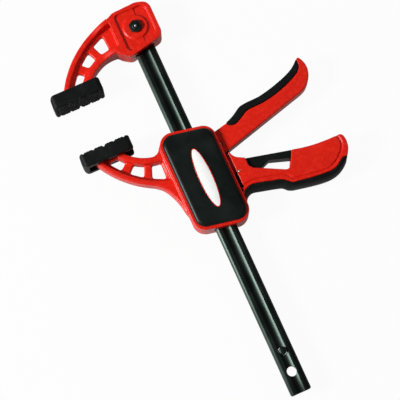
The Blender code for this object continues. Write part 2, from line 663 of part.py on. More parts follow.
def jaw_bolt(parent):
    """Bolt with a hex head behind the jaw; its end stands out of the nut in front."""
    place = (0, BOLT_Y)
    end = BOSS_TOP + FIT + NUT_HEIGHT + BOLT_TIP
    bolt = solid("jaw_bolt", circle(place, BOLT_RADIUS), -BOSS_TOP - NUT_HEIGHT, end, BOLT_TIP / 2, parent,
                 BRIGHT_STEEL)
    join(bolt, "bolt_head", hexagon(place, NUT_FLATS), -BOSS_TOP - FIT - NUT_HEIGHT, -BOSS_TOP - FIT)


def jaw_nut(parent):
    place = (0, BOLT_Y)
    low = BOSS_TOP + FIT
    nut = solid("jaw_nut", hexagon(place, NUT_FLATS), low, low + NUT_HEIGHT, parent=parent, look=BLACK_STEEL)
    cut(nut, "nut_bore", circle(place, BOLT_RADIUS + FIT), low - CUT_PAST, low + NUT_HEIGHT + CUT_PAST)


def pad(name, to_place, tip, parent):
    """Rubber boot: a block with treads on its face and a T slot that takes the jaw's foot."""
    outline = rounded([(tip, -PAD_HALF_DEPTH, PAD_CORNER), (tip + PAD_LENGTH, -PAD_HALF_DEPTH, PAD_CORNER),
                       (tip + PAD_LENGTH, PAD_HALF_DEPTH, PAD_CORNER), (tip, PAD_HALF_DEPTH, PAD_CORNER)])
    ends = sorted(y for _, y in to_place([(tip, 0), (tip, PAD_HEIGHT)]))
    boot = solid(name, outline, *ends, PAD_EDGE, parent, RUBBER, along_y=True)
    left, right = tip + PAD_END_WALL, tip + PAD_LENGTH + CUT_PAST
    foot = box(left, FOOT_BOTTOM - FIT, right, FOOT_BOTTOM + FOOT_THICKNESS + FIT)
    depth = FOOT_HALF_DEPTH + FIT
    cut(boot, name + "_foot_slot", to_place(foot), -depth, depth)
    neck = box(left, FOOT_BOTTOM, right, PAD_HEIGHT + CUT_PAST)
    cut(boot, name + "_neck_slot", to_place(neck), -ARM_HALF_DEPTH - FIT, ARM_HALF_DEPTH + FIT)
    for i in range(-2, 3):
        width, deep = (TREAD_GROOVE_WIDTH, TREAD_GROOVE_DEPTH) if i else (V_GROOVE_WIDTH, V_GROOVE_DEPTH)
        middle = tip + PAD_LENGTH / 2 + i * TREAD_PITCH
        slope = (deep + CUT_PAST) / deep * width / 2
        tooth = [(middle - slope, -CUT_PAST), (middle + slope, -CUT_PAST), (middle, deep)]
        past = PAD_HALF_DEPTH + CUT_PAST
        cut(boot, f"{name}_tread_{i + 2}", to_place(tooth), -past, past)


def body_shell(parent):
    """Rim, moving arm and hollow handle in one moulding."""
    shell = solid("body_shell", rim_outline(0), -RIM_HALF_DEPTH, RIM_HALF_DEPTH, RIM_EDGE, parent, RED)
    centres = moving_centres()
    outside, inside = arm_edges(centres, MOVING_ARM_RADIUS, -RIM_SIDE, (MOVING_ARM_ROOT, MOVING_INNER_ROOT))
    outside, inside = flipped(outside), flipped(inside)
    below = [outside[0], *from_top(ARM_ROOT_BELOW, -RIM_SIDE), (-RIM_MID_WALL, RIM_TOP + ARM_ROOT_LOW)]
    above = [inside[0], *from_top(ARM_ROOT_ABOVE, -RIM_SIDE), (-RIM_MID_WALL, RIM_TOP + ARM_ROOT_HIGH)]
    arm = smooth(below)[::-1] + outside[1:] + inside[::-1][:-1] + smooth(above)
    join(shell, "moving_arm", arm, -ARM_HALF_DEPTH, ARM_HALF_DEPTH, ARM_EDGE)
    join(shell, "handle", handle_outline(), -HANDLE_HALF_DEPTH, HANDLE_HALF_DEPTH, HANDLE_EDGE)
    finish_arm(shell, "moving_arm", flipped, centres, MOVING_ARM_RADIUS, -RIM_SIDE - MOVING_RECESS_ROOT,
               MOVING_PAD_TIP)
    past = RIM_HALF_DEPTH + CUT_PAST
    cut(shell, "cavity", rim_outline(RIM_WALL), -past, past)
    slot = box(-BAR_SIDE, -BAR_FACE, BAR_SIDE, BAR_FACE)
    cut(shell, "bar_way", slot, -RIM_LENGTH, RIM_LENGTH, along_y=True)
    low = CHANNEL_LOW - RIM_TOP
    opening = box(RIM_INSIDE - CUT_PAST, low, RIM_SIDE + CUT_PAST, RIM_TOP - LEVER_OPENING_DROP)
    lip = RIM_HALF_DEPTH - LEVER_OPENING_LIP
    cut(shell, "lever_opening", opening, -lip, lip)
    cut(shell, "handle_channel", channel_outline(), -CHANNEL_HALF_DEPTH, CHANNEL_HALF_DEPTH)
    cut(shell, "release_pin_hole", circle(release_point(), RELEASE_PIN_RADIUS + FIT), -past, past)
    depth = RIM_HALF_DEPTH - FIT
    underside = SPRING_SEAT_TOP - SPRING_SEAT_THICKNESS
    seat = box(-RIM_MID_WALL, underside, RIM_SIDE - SPRING_SEAT_INSET, SPRING_SEAT_TOP)
    join(shell, "spring_seat", seat, -depth, depth)
    ridge = box(FULCRUM_POINT[0] - FULCRUM_HALF_WIDTH, FULCRUM_POINT[1] + FIT,
                FULCRUM_POINT[0] + FULCRUM_HALF_WIDTH, underside + SPRING_SEAT_THICKNESS / 2)
    join(shell, "fulcrum", ridge, -BRAKE_HALF_DEPTH, BRAKE_HALF_DEPTH)
    cut(shell, "seat_bar_way", slot, underside - CUT_PAST, SPRING_SEAT_TOP + CUT_PAST, along_y=True)
    ledge_end = BRAKE_SPRING_X + BRAKE_SPRING_RADIUS + BRAKE_SPRING_WIRE + BRAKE_SEAT_LIP
    ledge = box(-RIM_MID_WALL, BRAKE_SEAT_TOP - BRAKE_SEAT_THICKNESS, ledge_end, BRAKE_SEAT_TOP)
    join(shell, "brake_seat", ledge, -BRAKE_HALF_DEPTH, BRAKE_HALF_DEPTH)


def release_point():
    return from_bottom([RELEASE_PIVOT])[0]


def channel_outline():
    """Hollow of the handle's root that the release lever lies in."""
    inner = RIM_MID_WALL - RIM_SIDE
    foot = [(inner, CHANNEL_HIGH), (inner, CHANNEL_LOW), (RELEASE_PIVOT[0], CHANNEL_LOW)]
    end = [(CHANNEL_END, CHANNEL_END_LOW), (CHANNEL_END, CHANNEL_HIGH)]
    return from_bottom([*foot, *CHANNEL_FLOOR[::-1], *end])


def handle_outline():
    """The fixed handle: neck on the rim, hollow root, thin beam below the window and a thick end."""
    inner = RIM_MID_WALL - RIM_SIDE
    boundary = shifted(smooth(HANDLE_GRIP_TOP), FIT / 2)
    neck = [(inner, HANDLE_NECK_BOTTOM), (inner, HANDLE_NECK_TOP), (HANDLE_GAP, HANDLE_NECK_TOP)]
    top = [(HANDLE_GAP, HANDLE_ROOT[0][1]), *smooth(HANDLE_ROOT), *HANDLE_WINDOW, *smooth(HANDLE_WINDOW_END)]
    end = smooth((*HANDLE_TOP, *HANDLE_END))
    return from_bottom(neck + top + end + boundary[::-1])


def front_cover(parent):
    base = RIM_HALF_DEPTH + FIT
    cover = solid("front_cover", rim_outline(COVER_INSET), base, COVER_TOP, parent=parent, look=BLACK_PLASTIC)
    soften_top(cover, COVER_TOP)
    cut(cover, "badge_recess", grown_oval(FIT), COVER_TOP - BADGE_RECESS, COVER_TOP + CUT_PAST)
    back = -base + FIT
    for i, point in enumerate(post_points()):
        join(cover, f"post_{i}", circle(point, POST_RADIUS), back, base + COVER_THICKNESS / 2)
        cut(cover, f"post_bore_{i}", circle(point, SCREW_RADIUS + FIT), back - CUT_PAST, back + SCREW_LENGTH)
    boss_low = TRIGGER_HALF_DEPTH + FIT
    join(cover, "front_pivot_boss", circle(PIVOT, PIVOT_BOSS_RADIUS), boss_low, base + COVER_THICKNESS / 2)
    cut(cover, "front_pivot_bore", circle(PIVOT, PIVOT_RADIUS + FIT), boss_low - CUT_PAST, base)


def grown_oval(gap):
    middle = Vector(BADGE_CENTRE)
    return [tuple(Vector(p) + (Vector(p) - middle).normalized() * gap) for p in oval()]


def soften_top(cover, level):
    """Round the outer edge of a cover's face."""
    mesh = bmesh.new()
    mesh.from_mesh(cover.data)
    rims = [e for e in mesh.edges if all(abs(v.co.z - level) < FIT for v in e.verts)]
    bmesh.ops.bevel(mesh, geom=rims, offset=COVER_EDGE, segments=2, profile=0.5, affect="EDGES")
    mesh.to_mesh(cover.data)
    mesh.free()
    cover.data.shade_smooth()
    cover.data.set_sharp_from_angle(angle=SHARP_ANGLE)


def back_cover(parent):
    base = RIM_HALF_DEPTH + FIT
    cover = solid("back_cover", rim_outline(COVER_INSET), -COVER_TOP, -base, parent=parent, look=BLACK_PLASTIC)
    soften_top(cover, -COVER_TOP)
    boss_low = TRIGGER_HALF_DEPTH + FIT
    join(cover, "back_pivot_boss", circle(PIVOT, PIVOT_BOSS_RADIUS), -base - COVER_THICKNESS / 2, -boss_low)
    cut(cover, "back_pivot_bore", circle(PIVOT, PIVOT_RADIUS + FIT), -base, -boss_low + CUT_PAST)
    floor = -COVER_TOP + SCREW_SINK + SCREW_HEAD_HEIGHT + FIT
    for i, point in enumerate(post_points()):
        cut(cover, f"screw_way_{i}", circle(point, SCREW_RADIUS + FIT), -COVER_TOP - CUT_PAST, -base + CUT_PAST)
        cut(cover, f"screw_sink_{i}", circle(point, SCREW_HEAD_RADIUS + FIT), -COVER_TOP - CUT_PAST, floor)


def cover_screws(parent):
    outer = -COVER_TOP + SCREW_SINK
    inner = outer + SCREW_HEAD_HEIGHT
    for i, point in enumerate(post_points()):
        name = f"cover_screw_{i + 1}"
        screw = solid(name, circle(point, SCREW_HEAD_RADIUS), outer, inner, parent=parent, look=BRIGHT_STEEL)
        end = -RIM_HALF_DEPTH + SCREW_LENGTH - COVER_THICKNESS
        join(screw, f"screw_shank_{i}", circle(point, SCREW_RADIUS), inner - SCREW_HEAD_HEIGHT / 2, end)
        for turn, (across, tall) in enumerate(((1, 0), (0, 1))):
            wide = SCREW_SLOT_REACH if across else SCREW_SLOT_WIDTH / 2
            high = SCREW_SLOT_REACH if tall else SCREW_SLOT_WIDTH / 2
            arm = box(point[0] - wide, point[1] - high, point[0] + wide, point[1] + high)
            cut(screw, f"screw_{i}_slot_{turn}", arm, outer - CUT_PAST, outer + SCREW_SLOT_DEPTH)


def badge(parent):
    low = COVER_TOP - BADGE_RECESS + FIT
    solid("badge", oval(), low, low + BADGE_THICKNESS, parent=parent, look=WHITE)


def trigger(parent):
    """Squeeze lever: a fork round the bar with an eye on the pivot, and a curved handle."""
    boundary = shifted(smooth(TRIGGER_GRIP_BOTTOM), -FIT / 2)
    outline = from_top([*TRIGGER_ROOT_TOP, *boundary, *smooth(TRIGGER_TIP), *TRIGGER_ROOT_BOTTOM])
    eye = arc(PIVOT, PIVOT_EYE_RADIUS, PIVOT_EYE_FIRST, PIVOT_EYE_LAST)
    lever = solid("trigger", placed(outline + eye[::-1], PIVOT), -TRIGGER_HALF_DEPTH, TRIGGER_HALF_DEPTH,
                  TRIGGER_EDGE, parent, RED)
    slot = box(-RIM_WIDTH, -RIM_WIDTH, PLATE_END + TRIGGER_SLOT_END_GAP - PIVOT_X, RIM_WIDTH)
    cut(lever, "trigger_slot", slot, -TRIGGER_SLOT_HALF, TRIGGER_SLOT_HALF)
    past = TRIGGER_HALF_DEPTH + CUT_PAST
    cut(lever, "trigger_pivot_bore", circle((0, 0), PIVOT_RADIUS + FIT), -past, past)
    drive = placed([DRIVE_PIN], PIVOT)[0]
    cut(lever, "drive_pin_bore", circle(drive, DRIVE_PIN_RADIUS + FIT), -past, past)


def trigger_grip(parent):
    lower = shifted(smooth(TRIGGER_GRIP_BOTTOM), FIT / 2)
    outline = from_top(smooth(TRIGGER_GRIP_TOP) + lower[::-1])
    depth = TRIGGER_HALF_DEPTH + GRIP_PROUD
    solid("trigger_grip", placed(outline, PIVOT), -depth, depth, TRIGGER_EDGE / 2, parent, RUBBER)


def pins(root, trigger_hinge):
    reach = RIM_HALF_DEPTH - FIT
    solid("trigger_pivot_pin", circle(PIVOT, PIVOT_RADIUS), -reach, reach, parent=root, look=BRIGHT_STEEL)
    drive = placed([DRIVE_PIN], PIVOT)[0]
    solid("drive_pin", circle(drive, DRIVE_PIN_RADIUS), -TRIGGER_HALF_DEPTH, TRIGGER_HALF_DEPTH,
          parent=trigger_hinge, look=BRIGHT_STEEL)
    solid("release_pin", circle(release_point(), RELEASE_PIN_RADIUS), -HANDLE_HALF_DEPTH, HANDLE_HALF_DEPTH,
          parent=root, look=BRIGHT_STEEL)


def drive_plates(parent):
    outline = box(PIVOT_X + PIVOT_RADIUS + FIT, -PLATE_HALF_DEPTH, PLATE_END, PLATE_HALF_DEPTH)
    hole = box(-BAR_SIDE, -BAR_FACE, BAR_SIDE, BAR_FACE)
    for i in range(2):
        top = -i * (PLATE_THICKNESS + FIT)
        name = f"drive_plate_{i + 1}"
        plate = solid(name, outline, top - PLATE_THICKNESS, top, parent=parent, look=BRIGHT_STEEL, along_y=True)
        cut(plate, name + "_bar_way", hole, top - PLATE_THICKNESS - CUT_PAST, top + CUT_PAST, along_y=True)


def brake_plate(parent):
    """A plate about its fulcrum, with a bar way long enough for the plate's cant."""
    left = -RIM_INSIDE + BRAKE_LEFT_GAP - FULCRUM_POINT[0]
    right = RIM_SIDE - BRAKE_RIGHT_INSET - FULCRUM_POINT[0]
    outline = box(left, -BRAKE_HALF_DEPTH, right, BRAKE_HALF_DEPTH)
    plate = solid("brake_plate", outline, -BRAKE_THICKNESS, 0, parent=parent, look=BRIGHT_STEEL, along_y=True)
    lean = BRAKE_THICKNESS * math.sin(BRAKE_CANT)
    length = (BAR_WIDTH + lean) / math.cos(BRAKE_CANT) + SLIDE_FIT
    middle = (-FULCRUM_POINT[0] + lean / 2) / math.cos(BRAKE_CANT)
    hole = box(middle - length / 2, -BAR_FACE, middle + length / 2, BAR_FACE)
    cut(plate, "brake_bar_way", hole, -BRAKE_THICKNESS - CUT_PAST, CUT_PAST, along_y=True)


def release_lever(parent):
    """Lever in the handle's channel; its nose lies under the brake plate's end."""
    hub = arc((0, 0), RELEASE_HUB_RADIUS, RELEASE_HUB_FIRST, RELEASE_HUB_LAST)
    outline = placed([*RELEASE_TOP, *RELEASE_BOTTOM, *RELEASE_NOSE], RELEASE_PIVOT) + hub[::-1]
    lever = solid("release_lever", outline, -RELEASE_HALF_DEPTH, RELEASE_HALF_DEPTH,
                  RELEASE_EDGE, parent, BLACK_PLASTIC)
    past = RELEASE_HALF_DEPTH + CUT_PAST
    cut(lever, "release_bore", circle((0, 0), RELEASE_PIN_RADIUS + FIT), -past, past)


def handle_grip(parent):
    upper = shifted(smooth(HANDLE_GRIP_TOP), -FIT / 2)
    outline = from_bottom(upper + smooth(HANDLE_GRIP_BOTTOM))
    depth = HANDLE_HALF_DEPTH + GRIP_PROUD
    solid("handle_grip", outline, -depth, depth, HANDLE_EDGE / 2, parent, RUBBER)


def springs(root):
    low_plate = PLATE_TOP - 2 * PLATE_THICKNESS - FIT
    coil("drive_spring", 0, SPRING_SEAT_TOP + FIT, low_plate - FIT, DRIVE_SPRING_RADIUS, DRIVE_SPRING_WIRE,
         DRIVE_SPRING_TURNS, root, BRIGHT_STEEL)
    reach = FULCRUM_POINT[0] - BRAKE_SPRING_X - BRAKE_SPRING_RADIUS - BRAKE_SPRING_WIRE
    under_plate = FULCRUM_POINT[1] - BRAKE_THICKNESS / math.cos(BRAKE_CANT) + reach * math.tan(BRAKE_CANT)
    coil("brake_spring", BRAKE_SPRING_X, BRAKE_SEAT_TOP + FIT, under_plate - FIT, BRAKE_SPRING_RADIUS,
         BRAKE_SPRING_WIRE, BRAKE_SPRING_TURNS, root, BRIGHT_STEEL)


def main():
    clear_scene()
    root = empty("clamp_body", (0, 0, REST_HEIGHT))
    bar = empty("bar_slide", (0, 0, 0), root)
    trigger_hinge = empty("trigger_hinge", (*PIVOT, 0), root)
    plates = empty("drive_plates", (0, PLATE_TOP, 0), root)
    release_hinge = empty("release_hinge", (*release_point(), 0), root)
    brake_hinge = empty("brake_hinge", (*FULCRUM_POINT, 0), root)
    brake_hinge.rotation_euler.z = -BRAKE_CANT
    slide_bar(bar)
    stop_pin(bar)
    fixed_jaw(bar)
    jaw_bolt(bar)
    jaw_nut(bar)
    pad("fixed_jaw_pad", lifted, FIXED_PAD_TIP, bar)
    body_shell(root)
    front_cover(root)
    back_cover(root)
    cover_screws(root)
    badge(root)
    pad("moving_jaw_pad", flipped, MOVING_PAD_TIP, root)
    trigger(trigger_hinge)
    trigger_grip(trigger_hinge)
    pins(root, trigger_hinge)
    drive_plates(plates)
    brake_plate(brake_hinge)
    release_lever(release_hinge)
    handle_grip(root)
    springs(root)


main()
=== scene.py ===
import math

import bmesh
import bpy
from mathutils import Matrix, Vector


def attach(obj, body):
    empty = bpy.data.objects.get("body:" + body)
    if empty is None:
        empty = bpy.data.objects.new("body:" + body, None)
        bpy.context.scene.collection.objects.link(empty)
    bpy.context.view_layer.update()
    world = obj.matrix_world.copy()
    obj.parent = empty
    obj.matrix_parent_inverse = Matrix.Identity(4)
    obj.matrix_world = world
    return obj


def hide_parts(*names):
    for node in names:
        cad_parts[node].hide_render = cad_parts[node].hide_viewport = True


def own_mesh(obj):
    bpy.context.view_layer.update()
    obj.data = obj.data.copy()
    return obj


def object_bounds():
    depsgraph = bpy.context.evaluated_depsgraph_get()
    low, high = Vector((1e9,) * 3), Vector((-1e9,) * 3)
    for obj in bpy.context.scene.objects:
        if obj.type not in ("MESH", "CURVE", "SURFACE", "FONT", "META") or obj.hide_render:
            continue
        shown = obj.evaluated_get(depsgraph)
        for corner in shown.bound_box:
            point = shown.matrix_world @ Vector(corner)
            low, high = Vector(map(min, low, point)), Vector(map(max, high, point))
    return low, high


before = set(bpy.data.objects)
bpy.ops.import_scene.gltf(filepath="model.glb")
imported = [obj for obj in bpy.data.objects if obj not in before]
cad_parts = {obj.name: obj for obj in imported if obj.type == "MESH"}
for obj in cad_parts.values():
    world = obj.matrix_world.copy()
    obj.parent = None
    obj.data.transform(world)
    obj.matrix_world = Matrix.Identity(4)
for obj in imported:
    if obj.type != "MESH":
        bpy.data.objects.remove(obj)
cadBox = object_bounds()
mm = 0.001  # sizes below are in millimetres
midPlane = 15.0  # height of the bar's middle above the floor
through = 14.0  # half the height of a cut that goes right through
overlap = 1.0  # how far joined solids and cutters run past a face
fineFacet, finerFacet = 0.3, 0.2  # flats on small round holes, pins and bends
samePoint = 0.05  # outline points closer than this are one
sameHeight = 1e-7  # in metres, for vertices on one level


# Small tools for outlines

def arcPoints(centre, radius, start, end, facet=0.7):  # angles in degrees, from +X towards +Y
    steps = max(3, math.ceil(abs(math.radians(end - start)) * radius / facet))
    turns = [math.radians(start + (end - start) * i / steps) for i in range(steps + 1)]
    return [(centre[0] + radius * math.cos(t), centre[1] + radius * math.sin(t)) for t in turns]


def circlePoints(centre, radius, facet=0.5):
    return arcPoints(centre, radius, 0, 360, facet)[:-1]


def roundCorners(corners):  # corners as (x, y, radius)
    outline = []
    for i, (x, y, radius) in enumerate(corners):
        here = Vector((x, y))
        back = (Vector(corners[i - 1][:2]) - here).normalized()
        ahead = (Vector(corners[(i + 1) % len(corners)][:2]) - here).normalized()
        half = back.angle(ahead) / 2
        middle = here + (back + ahead).normalized() * radius / math.sin(half)
        first = here + back * radius / math.tan(half) - middle
        last = here + ahead * radius / math.tan(half) - middle
        start = math.atan2(first.y, first.x)
        sweep = math.remainder(math.atan2(last.y, last.x) - start, 2 * math.pi)
        outline += arcPoints(middle, radius, math.degrees(start), math.degrees(start + sweep))
    return outline


def curveThrough(points, steps=5):  # a smooth line through the points
    ends = [points[0], *points, points[-1]]
    curve = []
    for a, b, c, d in zip(ends, ends[1:], ends[2:], ends[3:]):
        for i in range(steps):
            t = i / steps
            pull = (-t + 2 * t**2 - t**3, 2 - 5 * t**2 + 3 * t**3, t + 4 * t**2 - 3 * t**3, t**3 - t**2)
            curve.append(tuple(sum(w * p[k] for w, p in zip(pull, (a, b, c, d))) / 2 for k in (0, 1)))
    return curve + [points[-1]]


def besideCurve(curve, distance):  # the curve moved to its left
    moved = []
    for i, point in enumerate(curve):
        along = Vector(curve[min(i + 1, len(curve) - 1)]) - Vector(curve[max(i - 1, 0)])
        along.normalize()
        moved.append((point[0] - along.y * distance, point[1] + along.x * distance))
    return moved


def heightOn(curve, x):  # the height at x of a curve that runs towards +X
    for (x0, y0), (x1, y1) in zip(curve, curve[1:]):
        if x <= x1:
            return y0 + (y1 - y0) * max(0, x - x0) / (x1 - x0)
    return curve[-1][1]


def rectangle(left, bottom, right, top):
    return [(left, bottom), (right, bottom), (right, top), (left, top)]


# Modelling by operators

def pickOnly(piece):
    bpy.ops.object.select_all(action="DESELECT")
    piece.select_set(True)
    bpy.context.view_layer.objects.active = piece


def pickEdges(piece, test):  # in edit mode, select the edges that pass the test
    shape = bmesh.from_edit_mesh(piece.data)
    for edge in shape.edges:
        edge.select_set(test(edge))
    bmesh.update_edit_mesh(piece.data)


def slab(name, outline, low, high, edge=0, segments=4, ends="both", alongBar=False):  # an outline pushed out
    outline = [p for p, q in zip(outline, [*outline[1:], outline[0]]) if math.dist(p, q) > samePoint]
    area = sum(a[0] * b[1] - b[0] * a[1] for a, b in zip(outline, [*outline[1:], outline[0]]))
    outline = outline if area > 0 else outline[::-1]
    bpy.ops.object.select_all(action="DESELECT")
    bpy.ops.mesh.primitive_circle_add(vertices=len(outline), radius=1, fill_type="NGON")
    piece = bpy.context.object
    piece.name = name
    for vert, (x, y) in zip(piece.data.vertices, outline):
        vert.co = (x * mm, y * mm, low * mm)
    bpy.ops.object.mode_set(mode="EDIT")
    bpy.ops.mesh.select_all(action="SELECT")
    bpy.ops.mesh.extrude_region_move(TRANSFORM_OT_translate={"value": (0, 0, (high - low) * mm)})
    bpy.ops.mesh.select_all(action="SELECT")
    bpy.ops.mesh.normals_make_consistent(inside=False)
    if edge:
        levels = {"both": (low, high), "high": (high,), "low": (low,)}[ends]
        bpy.ops.mesh.select_mode(type="EDGE")
        pickEdges(piece, lambda rim: any(
            all(abs(v.co.z - z * mm) < sameHeight for v in rim.verts) for z in levels))
        bpy.ops.mesh.bevel(offset=edge * mm, segments=segments, profile=0.5, clamp_overlap=True)
    bpy.ops.object.mode_set(mode="OBJECT")
    if alongBar:  # the outline's second value becomes the height and the push runs along the bar
        piece.data.transform(Matrix(((1, 0, 0, 0), (0, 0, 1, 0), (0, 1, 0, midPlane * mm), (0, 0, 0, 1))))
        piece.data.flip_normals()
    else:
        piece.data.transform(Matrix.Translation((0, 0, midPlane * mm)))
    return piece


def applyModifier(piece, kind, **settings):
    pickOnly(piece)
    step = piece.modifiers.new(kind.lower(), kind)
    for name, value in settings.items():
        setattr(step, name, value)
    bpy.ops.object.modifier_apply(modifier=step.name)


def merge(piece, other, operation):
    applyModifier(piece, "BOOLEAN", operation=operation, solver="EXACT", object=other)
    bpy.data.objects.remove(other, do_unlink=True)


def addOn(piece, outline, low, high, **more):
    merge(piece, slab("addition", outline, low, high, **more), "UNION")


def cutOut(piece, outline, low, high, **more):
    merge(piece, slab("cutter", outline, low, high, **more), "DIFFERENCE")


def bothFaces(action, piece, outline, low, high, **more):
    action(piece, outline, low, high, **more)
    action(piece, outline, -high, -low, **more)


def soften(piece, grain, passes, keep, rounder=None, more=0):  # melt the slab edges, to about keep triangles
    applyModifier(piece, "REMESH", mode="VOXEL", voxel_size=grain * mm, use_smooth_shade=True)
    applyModifier(piece, "SMOOTH", factor=0.5, iterations=passes)
    if rounder:  # more of it where the test holds
        group = piece.vertex_groups.new(name="rounder")
        group.add([v.index for v in piece.data.vertices if rounder(v.co / mm)], 1.0, "REPLACE")
        applyModifier(piece, "SMOOTH", factor=0.5, iterations=more, vertex_group=group.name)
        piece.vertex_groups.clear()
    faces = sum(len(p.vertices) - 2 for p in piece.data.polygons)
    applyModifier(piece, "DECIMATE", ratio=min(1, keep / faces))
    pickOnly(piece)
    bpy.ops.object.shade_smooth()


def roundBelow(piece, line, depth, fullness):  # below the line, the piece becomes round from face to face
    for vert in piece.data.vertices:
        top = heightOn(line, vert.co.x / mm) * mm
        if vert.co.y < top:
            across = fullness * min(1, abs(vert.co.z / mm - midPlane) / depth)
            vert.co.y = top - (top - vert.co.y) * math.sqrt(1 - across * across)


def crispShade(piece, angle=32):
    pickOnly(piece)
    bpy.ops.object.shade_smooth_by_angle(angle=math.radians(angle))


def dress(piece, body, node, finish):  # material, the CAD node it stands for and the body it rides on
    piece.data.materials.clear()
    piece.data.materials.append(finish)
    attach(piece, body)
    if node:
        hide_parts(node)
    print("made", piece.name, len(piece.data.polygons), "faces")


# Finishes

class Tone:  # one socket of a finish, so that its sums can be written out
    def __init__(self, tree, socket):
        self.tree = tree
        self.socket = socket

    def node(self, kind, settings, inputs, output=0):
        made = self.tree.nodes.new("ShaderNode" + kind)
        for name, value in settings.items():
            setattr(made, name, value)
        for name, value in inputs.items():
            if isinstance(value, Tone):
                self.tree.links.new(value.socket, made.inputs[name])
            else:
                made.inputs[name].default_value = value
        return Tone(self.tree, made.outputs[output])

    def sum(self, operation, first, second=0.0):
        return self.node("Math", {"operation": operation}, {0: first, 1: second})

    def __add__(self, other):
        return self.sum("ADD", self, other)

    def __radd__(self, other):
        return self.sum("ADD", other, self)

    def __sub__(self, other):
        return self.sum("SUBTRACT", self, other)

    def __rsub__(self, other):
        return self.sum("SUBTRACT", other, self)

    def __mul__(self, other):
        return self.sum("MULTIPLY", self, other)

    def __rmul__(self, other):
        return self.sum("MULTIPLY", other, self)

    def __abs__(self):
        return self.sum("ABSOLUTE", self)

    def below(self, limit):
        return self.sum("LESS_THAN", self, limit)

    def noise(self, scale, detail=2.0, rough=0.5):
        return self.node("TexNoise", {}, {"Vector": self, "Scale": scale, "Detail": detail, "Roughness": rough})

    def stretched(self, x, y, z):
        return self.node("Mapping", {}, {"Vector": self, "Scale": (x, y, z)})

    def spread(self, low, high):  # low to high becomes 0 to 1
        return self.node("MapRange", {}, {"Value": self, "From Min": low, "From Max": high})

    def blend(self, first, second):  # this much of the second colour
        first, second = (c if isinstance(c, Tone) else (*c, 1) for c in (first, second))
        return self.node("Mix", {"data_type": "RGBA"}, {0: self, 6: first, 7: second}, output=2)

    def height(self, axis):
        return self.node("SeparateXYZ", {}, {0: self}, output="XYZ".index(axis))


def newFinish(name, fixed):  # returns the finish and its object coordinates
    finish = bpy.data.materials.new(name)
    finish.use_nodes = True
    shader = finish.node_tree.nodes["Principled BSDF"]
    for socket, value in fixed.items():
        shader.inputs[socket].default_value = value
    place = finish.node_tree.nodes.new("ShaderNodeTexCoord")
    return finish, Tone(finish.node_tree, place.outputs["Object"])


def feed(finish, **tones):  # link varying values to the shader's own sockets
    shader = finish.node_tree.nodes["Principled BSDF"]
    names = {"colour": "Base Color", "roughness": "Roughness", "normal": "Normal"}
    for name, tone in tones.items():
        finish.node_tree.links.new(tone.socket, shader.inputs[names[name]])


def raised(height):  # a surface pushed in and out, by a height in millimetres
    return height.node("Bump", {}, {"Height": height, "Distance": mm, "Strength": 1.0})


redPlastic = {
    "main": (0.66, 0.011, 0.003), "deep": (0.58, 0.008, 0.0022), "bright": (0.73, 0.020, 0.008),
    "fixed": {"IOR": 1.48, "Specular IOR Level": 0.38}, "gloss": 0.30, "rubGloss": 0.06, "cloudGloss": 0.04,
    "cloud": (38, 3), "cloudRange": (0.35, 0.70), "mottle": (310, 5, 0.65), "mottleRange": (0.46, 0.70),
    "rub": (420, 4, 0.6), "spark": (2400, 3, 0.6), "sparkHeight": 0.006, "seamHalf": 0.10, "seamHeight": 0.05,
}


def makeRedPlastic(name, look=redPlastic):
    finish, place = newFinish(name, look["fixed"])
    cloud = place.noise(*look["cloud"]).spread(*look["cloudRange"])
    rub = place.noise(*look["rub"])
    mottle = place.noise(*look["mottle"]).spread(*look["mottleRange"])
    spark = place.noise(*look["spark"])
    seam = abs(place.height("Z") - midPlane * mm).below(look["seamHalf"] * mm)  # where the mould's halves met
    colour = mottle.blend(cloud.blend(look["main"], look["deep"]), look["bright"])
    feed(finish, colour=colour, roughness=look["gloss"] + look["rubGloss"] * rub + look["cloudGloss"] * cloud,
         normal=raised(spark * look["sparkHeight"] + seam * look["seamHeight"]))
    return finish


blackPlastic = {
    "main": (0.0048, 0.0068, 0.0062), "worn": (0.011, 0.0145, 0.0132),
    "fixed": {"IOR": 1.5, "Specular IOR Level": 0.17}, "gloss": 0.30, "grainGloss": 0.10,
    "cloud": (55, 3), "cloudRange": (0.40, 0.75), "grain": (1500, 3, 0.65), "grainHeight": 0.02,
}


def makeBlackPlastic(name, look=blackPlastic):
    finish, place = newFinish(name, look["fixed"])
    cloud = place.noise(*look["cloud"]).spread(*look["cloudRange"])
    grain = place.noise(*look["grain"])
    feed(finish, colour=cloud.blend(look["main"], look["worn"]),
         roughness=look["gloss"] + look["grainGloss"] * grain, normal=raised(grain * look["grainHeight"]))
    return finish


softRubber = {
    "main": (0.0055, 0.0068, 0.0066), "dusty": (0.011, 0.0128, 0.0122),
    "fixed": {"IOR": 1.5, "Specular IOR Level": 0.09}, "gloss": 0.42, "grainGloss": 0.12, "dustGloss": 0.08,
    "dust": (90, 4, 0.6), "dustRange": (0.45, 0.80), "grain": (1100, 4, 0.7), "grainHeight": 0.03,
}


def makeRubber(name, look=softRubber):
    finish, place = newFinish(name, look["fixed"])
    dust = place.noise(*look["dust"]).spread(*look["dustRange"])
    grain = place.noise(*look["grain"])
    feed(finish, colour=dust.blend(look["main"], look["dusty"]),
         roughness=look["gloss"] + look["grainGloss"] * grain + look["dustGloss"] * dust,
         normal=raised(grain * look["grainHeight"]))
    return finish


blackOxide = {
    "main": (0.034, 0.048, 0.042), "rubbed": (0.062, 0.082, 0.073), "fixed": {"Metallic": 1.0},
    "gloss": 0.34, "drawnGloss": 0.14, "patchGloss": 0.08, "patchShare": 0.6, "drawnShare": 0.4,
    "stretch": (2200, 25, 2200), "drawn": (1.0, 3), "drawnHeight": 0.003,
    "patch": (45, 3), "patchRange": (0.40, 0.75),
}


